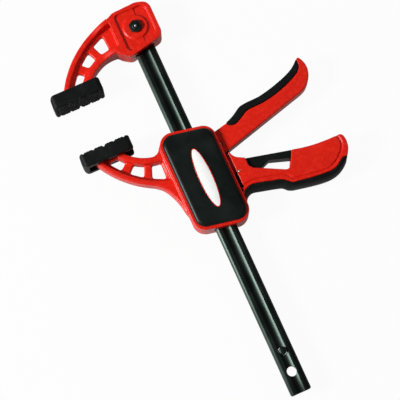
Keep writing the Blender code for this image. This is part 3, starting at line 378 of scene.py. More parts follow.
def makeBlackOxide(name, look=blackOxide):
    finish, place = newFinish(name, look["fixed"])
    drawn = place.stretched(*look["stretch"]).noise(*look["drawn"])  # marks along the bar from drawing it
    patch = place.noise(*look["patch"]).spread(*look["patchRange"])
    rubbed = look["patchShare"] * patch + look["drawnShare"] * drawn
    feed(finish, colour=rubbed.blend(look["main"], look["rubbed"]),
         roughness=look["gloss"] + look["drawnGloss"] * drawn + look["patchGloss"] * patch,
         normal=raised(drawn * look["drawnHeight"]))
    return finish


zincSteel = {
    "main": (0.68, 0.69, 0.68), "dull": (0.48, 0.49, 0.48), "fixed": {"Metallic": 0.7},
    "gloss": 0.42, "patchGloss": 0.16, "patch": (700, 3), "patchRange": (0.35, 0.70),
    "fine": (3000, 2), "fineHeight": 0.004,
}


def makeZinc(name, look=zincSteel):
    finish, place = newFinish(name, look["fixed"])
    patch = place.noise(*look["patch"]).spread(*look["patchRange"])
    fine = place.noise(*look["fine"])
    feed(finish, colour=patch.blend(look["main"], look["dull"]),
         roughness=look["gloss"] + look["patchGloss"] * patch, normal=raised(fine * look["fineHeight"]))
    return finish


labelPaint = {
    "white": (0.88, 0.88, 0.87), "aged": (0.83, 0.83, 0.82), "red": (0.62, 0.018, 0.010),
    "fixed": {"IOR": 1.45}, "gloss": 0.28, "cloudGloss": 0.10, "cloud": (120, 3), "cloudRange": (0.35, 0.70),
    "fine": (1800, 2), "fineHeight": 0.006,
}


def makeLabel(name, first, second, look=labelPaint):
    finish, place = newFinish(name, look["fixed"])
    cloud = place.noise(*look["cloud"]).spread(*look["cloudRange"])
    feed(finish, colour=cloud.blend(first, second), roughness=look["gloss"] + look["cloudGloss"] * cloud,
         normal=raised(place.noise(*look["fine"]) * look["fineHeight"]))
    return finish


finishes = {
    "red": makeRedPlastic("redPlastic"),
    "black": makeBlackPlastic("blackPlastic"),
    "rubber": makeRubber("softRubber"),
    "oxide": makeBlackOxide("blackOxide"),
    "zinc": makeZinc("zincSteel"),
    "white": makeLabel("labelWhite", labelPaint["white"], labelPaint["aged"]),
    "border": makeLabel("labelRed", labelPaint["red"], labelPaint["red"]),
}
print("finishes ready")


# Jaws: an arm's heights are above its clamping face

jawArm = {
    "outerCentre": (0, -29.8), "innerCentre": (-24.3, -11.5), "innerRadius": 37.2, "facet": 1.0,
    "outerRib": 4.8, "innerRib": 5.5, "depth": 7.5, "web": 3.0, "webSkin": 0.4, "rampOver": 2.0,
    "windows": (  # outer angles, then inner ones
        (20.5, 29.0, 4.5, 14.6), (34.0, 42.7, 23.2, 34.8), (48.2, 57.0, 44.4, 54.0)),
    "windowCorner": 1.2, "windowCut": 8.0,
    "footLow": 3.5, "footHigh": 7.5, "footDepth": 10.5, "footGap": 0.3, "footEnds": (4.8, 44.2),
}


def armArc(centre, radius, start, end):  # angles from straight up towards the jaw's tip
    return arcPoints(centre, radius, 90 + start, 90 + end, jawArm["facet"])


def angleAtX(centre, radius, x):
    return math.degrees(math.asin((centre[0] - x) / radius))


def angleAtHeight(centre, radius, height):
    return math.degrees(math.acos((height - centre[1]) / radius))


def armEdges(radius, outerRoot, innerRoot, arm=jawArm):
    foot = (arm["footLow"] + arm["footHigh"]) / 2
    outer = (arm["outerCentre"], radius, outerRoot)
    inner = (arm["innerCentre"], arm["innerRadius"], innerRoot)
    return [armArc(centre, size, angleAtX(centre, size, root), angleAtHeight(centre, size, foot))
            for centre, size, root in (outer, inner)]


def armHollows(radius, root, lips, arm=jawArm):  # the sunken web and its three windows
    outer, inner = arm["outerCentre"], arm["innerCentre"]
    rib, innerRib = radius - arm["outerRib"], arm["innerRadius"] + arm["innerRib"]
    foot = arm["footHigh"] + arm["footGap"]
    recess = armArc(outer, rib, angleAtX(outer, rib, root), angleAtHeight(outer, rib, foot))
    recess += armArc(inner, innerRib, angleAtHeight(inner, innerRib, foot), angleAtX(inner, innerRib, root))
    windows = []
    for first, last, innerFirst, innerLast in arm["windows"]:
        edge = armArc(outer, rib - lips[0], first, last)
        lower = armArc(inner, innerRib + lips[1], innerLast, innerFirst)
        corners = [edge[0], edge[-1], lower[0], lower[-1]]
        windows.append(roundCorners([(x, y, arm["windowCorner"]) for x, y in corners]))
    return recess, windows


def hollowArm(jaw, toPlace, look, arm=jawArm):
    recess, windows = armHollows(look["radius"], look["recessRoot"], look["windowLips"])
    left, right = (look["padTip"] + end for end in arm["footEnds"])
    foot = rectangle(left, arm["footLow"], right, arm["footHigh"])
    addOn(jaw, toPlace(foot), -arm["footDepth"], arm["footDepth"])
    bothFaces(cutOut, jaw, toPlace(recess), arm["web"], through)
    for window in windows:
        cutOut(jaw, toPlace(window), -arm["windowCut"], arm["windowCut"])


def liftRoot(jaw, start, end, top, arm=jawArm):  # the arm's ribs rise to the thicker head
    deep, web = arm["depth"], arm["web"]
    for vert in jaw.data.vertices:
        share = min(1, max(0, (vert.co.x / mm - start) / (end - start)))
        ribs = deep + (top - deep) * share * share * (3 - 2 * share)
        offset = vert.co.z / mm - midPlane
        if vert.co.x < (end + arm["rampOver"]) * mm and abs(offset) > web + arm["webSkin"]:
            height = web + (ribs - web) * (abs(offset) - web) / (deep - web)
            vert.co.z = (midPlane + math.copysign(min(height, top), offset)) * mm


fixedJaw = {
    "face": 103.0, "radius": 89.3, "outerRoot": -17.5, "innerRoot": -23.5, "recessRoot": -19.3, "padTip": -91.6,
    "windowLips": (3.0, 2.2),
    "head": ((-20.5, 56.0, 1.0), (-13.5, 59.3, 4.0), (8.0, 60.4, 12.0), (18.9, 57.2, 8.0), (18.9, 24.6, 7.0),
             (-13.0, 17.6, 6.0), (-20.5, 22.6, 3.0)),
    "browCurve": ((-31.0, 53.6), (-24.5, 55.6), (-18.5, 57.8)),
    "browBack": ((-14.0, 57.0), (-16.0, 48.0), (-30.0, 46.0)),
    "step": ((-15.0, 58.0), (4.6, 58.0), (4.4, 45.0), (3.0, 36.0), (2.6, 22.0), (-15.0, 18.0)), "stepRise": 0.9,
    "pocket": ((-13.8, 56.4, 4.0), (15.1, 56.4, 6.0), (15.1, 28.4, 5.0), (-13.8, 21.0, 4.0)),
    "pocketFloor": 8.2, "heel": ((-20.5, 22.4), (-17.5, 23.2)), "headDepth": 11.0,
    "bossRadius": 10.4, "bossTop": 10.0, "boltHeight": 40.5, "boltHole": 3.3,
    "barWidth": 18.8, "barDepth": 6.8, "barTop": 53.8,
    "rampStart": -38.0, "rampEnd": -22.0, "armStart": -20.3, "melt": (0.40, 12, 190000), "armPasses": 44,
}


def onFixedFace(points):
    return [(x, fixedJaw["face"] + height) for x, height in points]


def makeFixedJaw(look=fixedJaw):
    outside, inside = armEdges(look["radius"], look["outerRoot"], look["innerRoot"])
    deep, armDeep, floor = look["headDepth"], jawArm["depth"], look["pocketFloor"]
    jaw = slab("fixedJaw", onFixedFace(roundCorners(look["head"])), -deep, deep)
    addOn(jaw, onFixedFace(outside + inside[::-1] + list(look["heel"])), -armDeep, armDeep)
    addOn(jaw, onFixedFace(curveThrough(look["browCurve"]) + list(look["browBack"])), -armDeep, armDeep)
    hollowArm(jaw, onFixedFace, look)
    bolt = onFixedFace([(0, look["boltHeight"])])[0]
    bothFaces(cutOut, jaw, onFixedFace(roundCorners(look["pocket"])), floor, through)
    bothFaces(addOn, jaw, onFixedFace(look["step"]), floor - overlap, floor + look["stepRise"])
    bothFaces(addOn, jaw, circlePoints(bolt, look["bossRadius"]), floor - overlap, look["bossTop"])
    half, thick = look["barWidth"] / 2, look["barDepth"] / 2
    socketTop = look["face"] + look["barTop"]
    cutOut(jaw, rectangle(-half, -thick, half, thick), look["face"], socketTop, alongBar=True)
    cutOut(jaw, circlePoints(bolt, look["boltHole"]), -through, through)
    soften(jaw, *look["melt"], lambda at: at.x < look["armStart"], look["armPasses"])
    liftRoot(jaw, look["rampStart"], look["rampEnd"], deep)
    dress(jaw, "bar", "fixed_jaw", finishes["red"])


jawPad = {
    "length": 45.2, "height": 12.6, "depth": 15.0, "corner": 4.0, "edge": 1.2,
    "planCorners": (2.5, 1.6, 2.0, 4.5), "endWall": 4.5, "armSlot": 7.8, "treads": (-2, -1, 0, 1, 2),
    "treadPitch": 9.2, "treadWidth": 2.2, "treadDeep": 1.5, "notchWidth": 3.6, "notchDeep": 2.2,
    "diamondPitch": 2.6, "diamondDeep": 0.7, "diamondBand": 1.0, "melt": (0.35, 6, 150000),
}


def pressDiamonds(boot, face, inward, look=jawPad):  # small raised diamonds on the clamping face
    for vert in boot.data.vertices:
        if abs(vert.co.y / mm - face) < look["diamondBand"]:
            across = [(vert.co.x + way * vert.co.z) / mm / look["diamondPitch"] for way in (-1, 1)]
            valley = max(1 - 4 * abs(t % 1 - 0.5) for t in across)
            vert.co.y += inward * max(0, valley) * look["diamondDeep"] * mm


def makePad(name, node, body, toPlace, tip, look=jawPad):  # rubber boot with treads, pushed over the jaw's foot
    end, half, gap = tip + look["length"], look["depth"], jawArm["footGap"]
    outline = roundCorners([(x, z, look["corner"]) for x, z in rectangle(tip, -half, end, half)])
    low, high = sorted(y for _, y in toPlace([(tip, 0), (tip, look["height"])]))
    boot = slab(name, outline, low, high, edge=look["edge"], segments=3, alongBar=True)
    plan = rectangle(tip, 0, end, look["height"])
    plan = roundCorners([(*corner, radius) for corner, radius in zip(plan, look["planCorners"])])
    merge(boot, slab("plan", toPlace(plan), -half - overlap, half + overlap), "INTERSECT")
    left, footDeep = tip + look["endWall"], jawArm["footDepth"] + gap
    foot = rectangle(left, jawArm["footLow"] - gap, end + overlap, jawArm["footHigh"] + gap)
    cutOut(boot, toPlace(foot), -footDeep, footDeep)
    slot = rectangle(left, jawArm["footLow"], end + overlap, look["height"] + overlap)
    cutOut(boot, toPlace(slot), -look["armSlot"], look["armSlot"])
    for i in look["treads"]:  # the middle one is a wider notch
        width, deep = (look["treadWidth"], look["treadDeep"]) if i else (look["notchWidth"], look["notchDeep"])
        middle = tip + look["length"] / 2 + i * look["treadPitch"]
        slope = (deep + overlap) / deep * width / 2
        tread = [(middle - slope, -overlap), (middle + slope, -overlap), (middle, deep)]
        cutOut(boot, toPlace(tread), -half - overlap, half + overlap)
    soften(boot, *look["melt"])
    face, inside = (y for _, y in toPlace([(0, 0), (0, 1)]))
    pressDiamonds(boot, face, inside - face)
    dress(boot, body, node, finishes["rubber"])


# Body

bodyRim = {
    "side": 24.0, "top": 44.5, "slope": 11, "corner": 11.5, "wall": 4.0, "depth": 12.0,
    "barWay": (9.4, 3.4), "barWayEnd": 60.0, "leverWindow": (19.0, -23.8, 25.0, 37.0), "leverWindowDepth": 10.2,
    "armStart": -26.0, "melt": (0.42, 13, 195000), "armPasses": 44,
}


def rimOutline(inset, rim=bodyRim):
    slope = math.radians(rim["slope"])
    side, top = rim["side"] - inset, rim["top"] - inset / math.cos(slope)
    drop = side * math.tan(slope)
    corners = ((-side, top + drop), (-side, drop - top), (side, -top - drop), (side, top - drop))
    return roundCorners([(x, y, rim["corner"] - inset) for x, y in corners])


movingArm = {
    "face": 59.6, "radius": 88.0, "outerRoot": -41.0, "innerRoot": -31.0, "recessRoot": -25.5, "padTip": -88.6,
    "windowLips": (2.2, 0.7),
    "below": ((-35.0, 6.6), (-30.2, -1.5), (-27.0, -11.0), (-25.0, -21.0), (-22.0, -29.0)),
    "above": ((-26.8, 36.1), (-24.3, 39.2), (-22.0, 42.0)),
}
handleShape = {
    "depth": 10.0, "wall": 2.4, "neck": ((22.0, -33.0), (22.0, -20.5), (26.8, -20.5), (26.8, 11.8)),
    "root": ((28.0, 11.8), (29.2, 8.5), (31.5, 5.7), (35.0, 3.7), (38.2, 2.0)),
    "window": ((38.2, -5.3), (41.0, -8.7), (47.0, -11.6), (65.0, -20.9)),
    "windowEnd": ((66.8, -21.4), (69.0, -20.5), (70.6, -18.2), (76.5, -7.6)),
    "end": ((85.0, -9.6), (95.0, -11.1), (105.0, -11.8), (115.0, -11.9), (118.5, -11.9), (120.6, -13.2),
            (121.6, -15.8), (121.8, -20.0), (120.6, -25.5), (117.2, -31.2)),
    "gripTop": ((24.9, -33.0), (25.2, -27.5), (27.2, -23.5), (33.0, -21.2), (40.0, -22.2), (50.0, -25.0),
                (58.0, -27.2), (61.8, -30.0), (65.5, -33.3), (70.0, -34.2), (80.0, -35.8), (90.0, -37.0),
                (100.0, -37.5), (106.0, -35.8), (111.0, -32.4), (114.0, -31.1), (117.2, -31.4)),
    "gripBottom": ((115.0, -35.0), (111.0, -38.4), (105.0, -41.6), (98.0, -43.1), (90.0, -42.9), (80.0, -41.4),
                   (70.0, -39.4), (64.0, -38.1), (60.5, -36.4), (58.5, -34.2), (56.0, -32.6), (50.0, -30.8),
                   (40.0, -28.3), (32.5, -26.6), (27.8, -28.3), (25.4, -31.2)),
    "channel": ((22.0, 20.0), (22.0, -23.8), (28.7, -23.8), (34.0, -15.0), (41.0, -14.0), (47.0, -16.0),
                (65.0, -25.5), (82.0, -25.5), (84.0, -24.0), (84.0, 20.0)),
    "groove": ((26.0, -20.0), (30.0, -18.8), (38.0, -18.5), (45.0, -20.2), (55.0, -22.5), (62.0, -24.5),
               (65.0, -27.0), (68.0, -30.5), (72.0, -31.5), (80.0, -33.0), (90.0, -34.3), (98.0, -34.8),
               (103.0, -33.6), (108.0, -30.6), (112.5, -26.8), (115.6, -23.0), (117.0, -18.5), (116.8, -14.5),
               (115.4, -11.0)),
    "backWall": ((22.0, -21.5), (28.0, -21.5), (29.5, 11.0), (27.0, 18.0), (22.0, 18.0)), "backWallSunk": 0.3,
    "grooveWidth": 1.5, "grooveDeep": 1.1, "seatGap": 0.15, "gripDepth": 10.5, "gripRound": 0.93,
    "gripMelt": (0.40, 14, 40000),
}


def onMovingFace(points):
    return [(x, movingArm["face"] - height) for x, height in points]


def makeBodyShell(arm=movingArm, handle=handleShape, rim=bodyRim):
    shell = slab("bodyShell", rimOutline(0), -rim["depth"], rim["depth"])
    outside, inside = armEdges(arm["radius"], arm["outerRoot"], arm["innerRoot"])
    outside, inside = onMovingFace(outside), onMovingFace(inside)
    below = curveThrough([outside[0], *arm["below"]])
    above = curveThrough([inside[0], *arm["above"]])
    armLine = below[::-1] + outside[1:] + inside[::-1][:-1] + above
    addOn(shell, armLine, -jawArm["depth"], jawArm["depth"])
    seat = besideCurve(curveThrough(handle["gripTop"]), handle["seatGap"])
    handleLine = [*handle["neck"], *curveThrough(handle["root"]), *handle["window"],
                  *curveThrough(handle["windowEnd"]), *curveThrough(handle["end"]), *seat[::-1]]
    addOn(shell, handleLine, -handle["depth"], handle["depth"])
    hollowArm(shell, onMovingFace, arm)
    cutOut(shell, rimOutline(rim["wall"]), -through, through)
    wide, thick = rim["barWay"]
    cutOut(shell, rectangle(-wide, -thick, wide, thick), -rim["barWayEnd"], rim["barWayEnd"], alongBar=True)
    cutOut(shell, rectangle(*rim["leverWindow"]), -rim["leverWindowDepth"], rim["leverWindowDepth"])
    inner = handle["depth"] - handle["wall"]
    cutOut(shell, handle["channel"], -inner, inner)
    addOn(shell, handle["backWall"], -handle["depth"] + handle["backWallSunk"], -inner)
    cutOut(shell, circlePoints(releaseShape["pivot"], releaseShape["bore"], fineFacet), -through, through)
    path, half = curveThrough(handle["groove"]), handle["grooveWidth"] / 2
    groove = besideCurve(path, half) + besideCurve(path, -half)[::-1]
    bothFaces(cutOut, shell, groove, handle["depth"] - handle["grooveDeep"], handle["depth"] + overlap)
    soften(shell, *rim["melt"], lambda at: at.x < rim["armStart"], rim["armPasses"])
    dress(shell, "body", "body_shell", finishes["red"])


def makeHandleGrip(handle=handleShape):
    upper = curveThrough(handle["gripTop"])
    deep = handle["gripDepth"]
    outline = besideCurve(upper, -handle["seatGap"]) + curveThrough(handle["gripBottom"])
    grip = slab("handleGrip", outline, -deep, deep)
    soften(grip, *handle["gripMelt"])
    roundBelow(grip, sorted(upper), deep, handle["gripRound"])
    dress(grip, "body", "handle_grip", finishes["rubber"])


coverLook = {
    "inset": 2.4, "low": 12.3, "high": 15.0, "outside": 18.0, "edge": 4.0, "edgeSteps": 9, "block": 4.3,
    "badgeCentre": (0.8, -1.3), "badgeHalf": (6.1, 27.0), "badgePoints": 96, "badgeGap": 0.3, "badgeDeep": 0.6,
    "postRadius": 2.6, "postEnd": -12.0, "screwHole": 1.2, "holeTop": -2.0, "headHole": 2.6, "headSeat": -13.4,
}
screwPoints = ((-14.4, 37.43), (14.4, 31.83), (-14.4, -31.83), (14.4, -37.43))


def ovalPoints(grow, look=coverLook):
    (x, y), (wide, tall) = look["badgeCentre"], look["badgeHalf"]
    turns = [2 * math.pi * i / look["badgePoints"] for i in range(look["badgePoints"])]
    return [(x + (wide + grow) * math.cos(t), y + (tall + grow) * math.sin(t)) for t in turns]


def crownPlate(name, side, look=coverLook):  # a plate whose edge falls away wider than it is deep
    block = sorted((side * look["high"], side * (look["high"] - look["block"])))
    face = "high" if side > 0 else "low"
    plate = slab(name, rimOutline(look["inset"]), *block, look["edge"], look["edgeSteps"], face)
    outer, flatter = midPlane + side * look["high"], (look["high"] - look["low"]) / look["block"]
    for vert in plate.data.vertices:
        vert.co.z = (outer + (vert.co.z / mm - outer) * flatter) * mm
    return plate


def makeFrontCover(look=coverLook):
    cover = crownPlate("frontCover", 1)
    cutOut(cover, ovalPoints(look["badgeGap"]), look["high"] - look["badgeDeep"], look["outside"])
    for point in screwPoints:
        addOn(cover, circlePoints(point, look["postRadius"]), look["postEnd"], look["low"] + overlap)
        cutOut(cover, circlePoints(point, look["screwHole"], fineFacet), -through, look["holeTop"])
    crispShade(cover)
    dress(cover, "body", "front_cover", finishes["black"])


def makeBackCover(look=coverLook):
    cover = crownPlate("backCover", -1)
    for point in screwPoints:
        cutOut(cover, circlePoints(point, look["screwHole"], fineFacet), -look["outside"], look["postEnd"])
        cutOut(cover, circlePoints(point, look["headHole"], fineFacet), -look["outside"], look["headSeat"])
    crispShade(cover)
    dress(cover, "body", "back_cover", finishes["black"])


badgeLook = {
    "sunk": 0.3, "inset": 0.75, "rise": 0.16, "edge": 0.12,
    "borderInset": 0.7, "borderRise": 0.20, "borderEdge": 0.15,
}


def makeBadge(look=badgeLook):  # a blank oval plate in a thin border
    face = coverLook["high"]
    low = face - look["sunk"]
    plate = slab("badgePlate", ovalPoints(-look["inset"]), low, face + look["rise"], look["edge"], 3, "high")
    crispShade(plate)
    dress(plate, "body", "badge", finishes["white"])
    border = slab("badgeBorder", ovalPoints(0), low, face + look["borderRise"], look["borderEdge"], 3, "high")
    cutOut(border, ovalPoints(-look["borderInset"]), coverLook["low"], coverLook["outside"])
    crispShade(border)
    dress(border, "body", None, finishes["border"])


coverScrew = {
    "head": 2.3, "headLow": -14.8, "headHigh": -13.7, "edge": 0.35,
    "shank": 0.9, "shankLow": -14.0, "shankHigh": -4.7, "slotHalf": (1.4, 0.3),
    "slotFloor": -14.3, "outside": -16.0,
}


def makeScrews(look=coverScrew):  # cross-slot heads, sunk in the back cover
    long, wide = look["slotHalf"]
    for i, (x, y) in enumerate(screwPoints):
        head = circlePoints((x, y), look["head"], fineFacet)
        screw = slab(f"coverScrew{i + 1}", head, look["headLow"], look["headHigh"], look["edge"], 4, "low")
        addOn(screw, circlePoints((x, y), look["shank"], fineFacet), look["shankLow"], look["shankHigh"])
        for across, up in ((long, wide), (wide, long)):
            cutOut(screw, rectangle(x - across, y - up, x + across, y + up), look["outside"], look["slotFloor"])
        crispShade(screw)
        dress(screw, "body", f"cover_screw_{i + 1}", finishes["zinc"])


# Levers

triggerShape = {
    "gripTop": ((36.2, 36.4), (40.0, 37.8), (45.0, 40.2), (50.0, 43.4), (53.5, 44.8), (60.0, 45.5),
                (70.0, 45.8), (80.0, 47.7), (90.0, 50.4), (100.0, 53.9), (107.0, 57.6), (113.0, 62.8)),
    "gripBottom": ((36.2, 36.0), (38.0, 33.6), (41.5, 32.2), (45.5, 33.0), (50.5, 35.6), (55.5, 38.4),
                   (60.0, 39.3), (70.0, 39.6), (80.0, 41.0), (90.0, 43.6), (100.0, 47.2), (107.0, 50.7),
                   (111.3, 54.0), (112.8, 57.8), (113.0, 62.4)),
    "tip": ((113.4, 63.0), (114.8, 63.5), (116.6, 61.5), (118.3, 57.0), (118.7, 52.0), (117.2, 46.2),
            (114.0, 40.8), (110.0, 37.0), (105.0, 34.7)),
    "rootTop": ((13.0, 24.5), (19.5, 30.0), (24.3, 33.3)),
    "rootBottom": ((28.5, 13.8), (24.3, 13.3), (20.0, 14.0), (13.0, 15.5)),
    "pivot": (-15.2, 17.095), "pivotBore": 2.3, "eyeRadius": 4.2, "eyeArc": (80, 320),
    "drivePin": (23.2, 21.3), "driveBore": 2.5, "depth": 7.2,
    "slot": (-60.0, -60.0, 28.5, 80.0), "slotHalf": 5.2,
    "lowerEdge": ((28.5, 13.8), (105.0, 34.7)), "edgeStart": 30.5, "edgeBand": 5.5, "edgePasses": 60,
    "melt": (0.40, 14, 80000), "seatGap": 0.15, "gripProud": 0.5, "gripMelt": (0.40, 14, 40000),
}


def makeTrigger(look=triggerShape):
    seat = besideCurve(curveThrough(look["gripBottom"]), -look["seatGap"])
    eye = arcPoints(look["pivot"], look["eyeRadius"], *look["eyeArc"])
    outline = [*look["rootTop"], *seat, *curveThrough(look["tip"]), *look["rootBottom"], *eye[::-1]]
    lever = slab("triggerLever", outline, -look["depth"], look["depth"])
    cutOut(lever, rectangle(*look["slot"]), -look["slotHalf"], look["slotHalf"])
    cutOut(lever, circlePoints(look["pivot"], look["pivotBore"], fineFacet), -through, through)
    cutOut(lever, circlePoints(look["drivePin"], look["driveBore"], fineFacet), -through, through)
    (x, y), (farX, farY) = look["lowerEdge"]
    slope = (farY - y) / (farX - x)

    def nearEdge(at):  # the edge towards the handle is rounder
        return at.x > look["edgeStart"] and at.y < y + slope * (at.x - x) + look["edgeBand"]

    soften(lever, *look["melt"], nearEdge, look["edgePasses"])
    dress(lever, "trigger", "trigger", finishes["red"])


def makeTriggerGrip(look=triggerShape):
    lower = besideCurve(curveThrough(look["gripBottom"]), look["seatGap"])
    deep = look["depth"] + look["gripProud"]
    grip = slab("triggerGrip", curveThrough(look["gripTop"]) + lower[::-1], -deep, deep)
    soften(grip, *look["gripMelt"])
    dress(grip, "trigger", "trigger_grip", finishes["rubber"])


releaseShape = {
    "top": ((33.0, 0.2), (38.2, 1.9), (76.5, -7.3), (77.2, -8.8), (82.0, -9.9)),
    "bottom": ((81.2, -15.4), (73.3, -13.4), (56.0, -7.6), (50.5, -9.6), (46.5, -11.3),
               (42.0, -10.6), (36.0, -9.2)),
    "nose": ((24.5, -22.5), (19.2, -22.5), (19.2, -20.0), (24.0, -20.0)),
    "pivot": (28.7, -6.5), "bore": 1.3, "hub": 3.0, "hubArc": (70, 190), "depth": 7.2,
    "melt": (0.35, 10, 30000),
}


def makeReleaseLever(look=releaseShape):
    hub = arcPoints(look["pivot"], look["hub"], *look["hubArc"])
    outline = [*look["top"], *look["bottom"], *look["nose"], *hub[::-1]]
    lever = slab("releaseLever", outline, -look["depth"], look["depth"])
    cutOut(lever, circlePoints(look["pivot"], look["bore"], fineFacet), -through, through)
    soften(lever, *look["melt"])
    dress(lever, "release", "release_lever", finishes["black"])


pins = {
    "drive_pin": {
        "name": "drivePin", "body": "trigger", "at": triggerShape["drivePin"],
        "radius": 2.2, "reach": 7.3, "dome": 1.0,
    },
    "release_pin": {
        "name": "releasePin", "body": "body", "at": releaseShape["pivot"],
        "radius": 1.0, "reach": 10.4, "dome": 0.6,
    },
}


def makePins():  # plain pins with domed ends
    for node, look in pins.items():
        outline = circlePoints(look["at"], look["radius"], finerFacet)
        pin = slab(look["name"], outline, -look["reach"], look["reach"], look["dome"], segments=6)
        crispShade(pin, angle=40)
        dress(pin, look["body"], node, finishes["zinc"])


springs = {
    "drive_spring": {
        "name": "driveSpring", "joint": "drive_plate_slide", "wire": 0.6, "turns": 6, "travel": 9.3,
    },
    "brake_spring": {
        "name": "brakeSpring", "joint": "brake_tilt", "wire": 0.4, "turns": 5, "travel": 3.9,
    },
}


def makeSprings(wireSides=10, turnSteps=28):  # coils that fill each CAD spring's box, fixed to the body
    for node, look in springs.items():
        corners = [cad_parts[node].matrix_world @ Vector(c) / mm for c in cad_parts[node].bound_box]
        low, high = (Vector(pick(c[k] for c in corners) for k in range(3)) for pick in (min, max))
        middle, wire = (low + high) / 2, look["wire"]
        rise = (high.y - low.y - 2 * wire) / look["turns"]
        bpy.ops.object.select_all(action="DESELECT")
        bpy.ops.mesh.primitive_circle_add(vertices=wireSides, radius=wire * mm)
        coil = bpy.context.object
        coil.name = look["name"]
        coil.data.transform(Matrix.Rotation(math.pi / 2, 4, "X"))
        coil.data.transform(Matrix.Translation(((high.x - middle.x - wire) * mm, 0, 0)))
        applyModifier(coil, "SCREW", axis="Z", steps=turnSteps, iterations=look["turns"],
                      screw_offset=rise * mm)
        bpy.ops.object.mode_set(mode="EDIT")
        bpy.ops.mesh.select_all(action="SELECT")
        bpy.ops.mesh.fill_holes(sides=0)
        bpy.ops.mesh.select_all(action="SELECT")
        bpy.ops.mesh.normals_make_consistent(inside=False)
        bpy.ops.object.mode_set(mode="OBJECT")
        coil.data.transform(Matrix.Rotation(-math.pi / 2, 4, "X"))  # its axis along the bar
        coil.data.transform(Matrix.Translation(Vector((middle.x, low.y + wire, middle.z)) * mm))
        crispShade(coil, angle=60)
        dress(coil, "body", node, finishes["zinc"])
        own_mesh(coil)


# Bar and its fastenings

barShape = {
    "half": 9.0, "face": 3.0, "chamfer": (2.0, 1.7), "shoulder": 3.4, "grooveHalf": 3.6, "grooveDeep": 1.15,
    "low": -194.5, "high": 156.5, "endEdge": 0.35, "endCorner": 1.6, "bolt": 143.5, "boltHole": 3.3,
    "hangHole": -175.6, "hangRadius": 4.2, "stopPin": -157.3,
    "pinRadius": 3.3, "pinGap": 0.3, "pinReach": 4.8, "pinDome": 1.6,
}


def makeBar(look=barShape):
    half, face, (wide, drop) = look["half"], look["face"], look["chamfer"]
    radius = (look["grooveHalf"] ** 2 + look["grooveDeep"] ** 2) / (2 * look["grooveDeep"])
    spread = math.degrees(math.asin(look["grooveHalf"] / radius))
    groove = arcPoints((0, face - look["grooveDeep"] + radius), radius, -90 - spread, -90 + spread)
    fall = math.degrees(math.atan2(drop, wide))  # the chamfer runs into the face by a rounded shoulder
    shoulder = half - wide - look["shoulder"] * math.tan(math.radians(fall / 2))
    bend = arcPoints((shoulder, face - look["shoulder"]), look["shoulder"], 90, 90 - fall, finerFacet)
    upper = [(-half, face - drop), *[(-x, z) for x, z in bend[::-1]], *groove, *bend, (half, face - drop)]
    section = upper + [(-x, -z) for x, z in upper]
    bar = slab("slideBar", section, look["low"], look["high"], look["endEdge"], segments=2, alongBar=True)
    ends = rectangle(-half, look["low"], half, look["high"])
    ends = roundCorners([(x, y, look["endCorner"]) for x, y in ends])
    merge(bar, slab("rounded", ends, -face - overlap, face + overlap), "INTERSECT")
    cutOut(bar, circlePoints((0, look["bolt"]), look["boltHole"]), -through, through)
    cutOut(bar, circlePoints((0, look["hangHole"]), look["hangRadius"], fineFacet), -through, through)
    cutOut(bar, circlePoints((0, look["stopPin"]), look["pinRadius"] + look["pinGap"]), -through, through)
    crispShade(bar, angle=24)
    dress(bar, "bar", "slide_bar", finishes["oxide"])
    pinRound = circlePoints((0, look["stopPin"]), look["pinRadius"], fineFacet)
    pin = slab("stopPin", pinRound, -look["pinReach"], look["pinReach"], look["pinDome"], segments=7)
    crispShade(pin, angle=40)
    dress(pin, "bar", "stop_pin", finishes["oxide"])


jawBolt = {
    "flats": 10.0, "turnedShare": 0.572, "turnedEdge": 0.75, "height": 2.6, "seat": 10.0,
    "radius": 3.0, "threadGap": 0.3, "tip": 0.5, "tipEdge": 0.6,
    "centre": 0.9, "centreSunk": 0.1, "centreRise": 0.25, "centreEdge": 0.2,
}


def hexPoints(centre, flats):
    radius = flats / math.sqrt(3)
    turns = [math.radians(90 + 60 * i) for i in range(6)]
    return [(centre[0] + radius * math.cos(t), centre[1] + radius * math.sin(t)) for t in turns]


def hexBlock(name, centre, low, high, look=jawBolt):  # a hexagon with its corners turned off
    block = slab(name, hexPoints(centre, look["flats"]), low, high)
    turned = circlePoints(centre, look["flats"] * look["turnedShare"], fineFacet)
    merge(block, slab("turned", turned, low, high, look["turnedEdge"], segments=3), "INTERSECT")
    return block


def makeJawBolt(look=jawBolt):
    centre, seat = (0, barShape["bolt"]), look["seat"]
    top = seat + look["height"]
    nut = hexBlock("jawNut", centre, seat, top)
    cutOut(nut, circlePoints(centre, look["radius"] + look["threadGap"], fineFacet), 0, 2 * seat)
    crispShade(nut, angle=28)
    dress(nut, "bar", "jaw_nut", finishes["oxide"])
    end = top + look["tip"]
    shank = circlePoints(centre, look["radius"], fineFacet)
    bolt = slab("jawBolt", shank, -seat - overlap, end, look["tipEdge"])
    merge(bolt, hexBlock("boltHead", centre, -top, -seat), "UNION")
    crispShade(bolt, angle=28)
    dress(bolt, "bar", "jaw_bolt", finishes["oxide"])
    dot = circlePoints(centre, look["centre"], finerFacet)
    low, high = end - look["centreSunk"], end + look["centreRise"]
    bright = slab("boltCentre", dot, low, high, look["centreEdge"], 3, "high")
    crispShade(bright)
    dress(bright, "bar", None, finishes["zinc"])


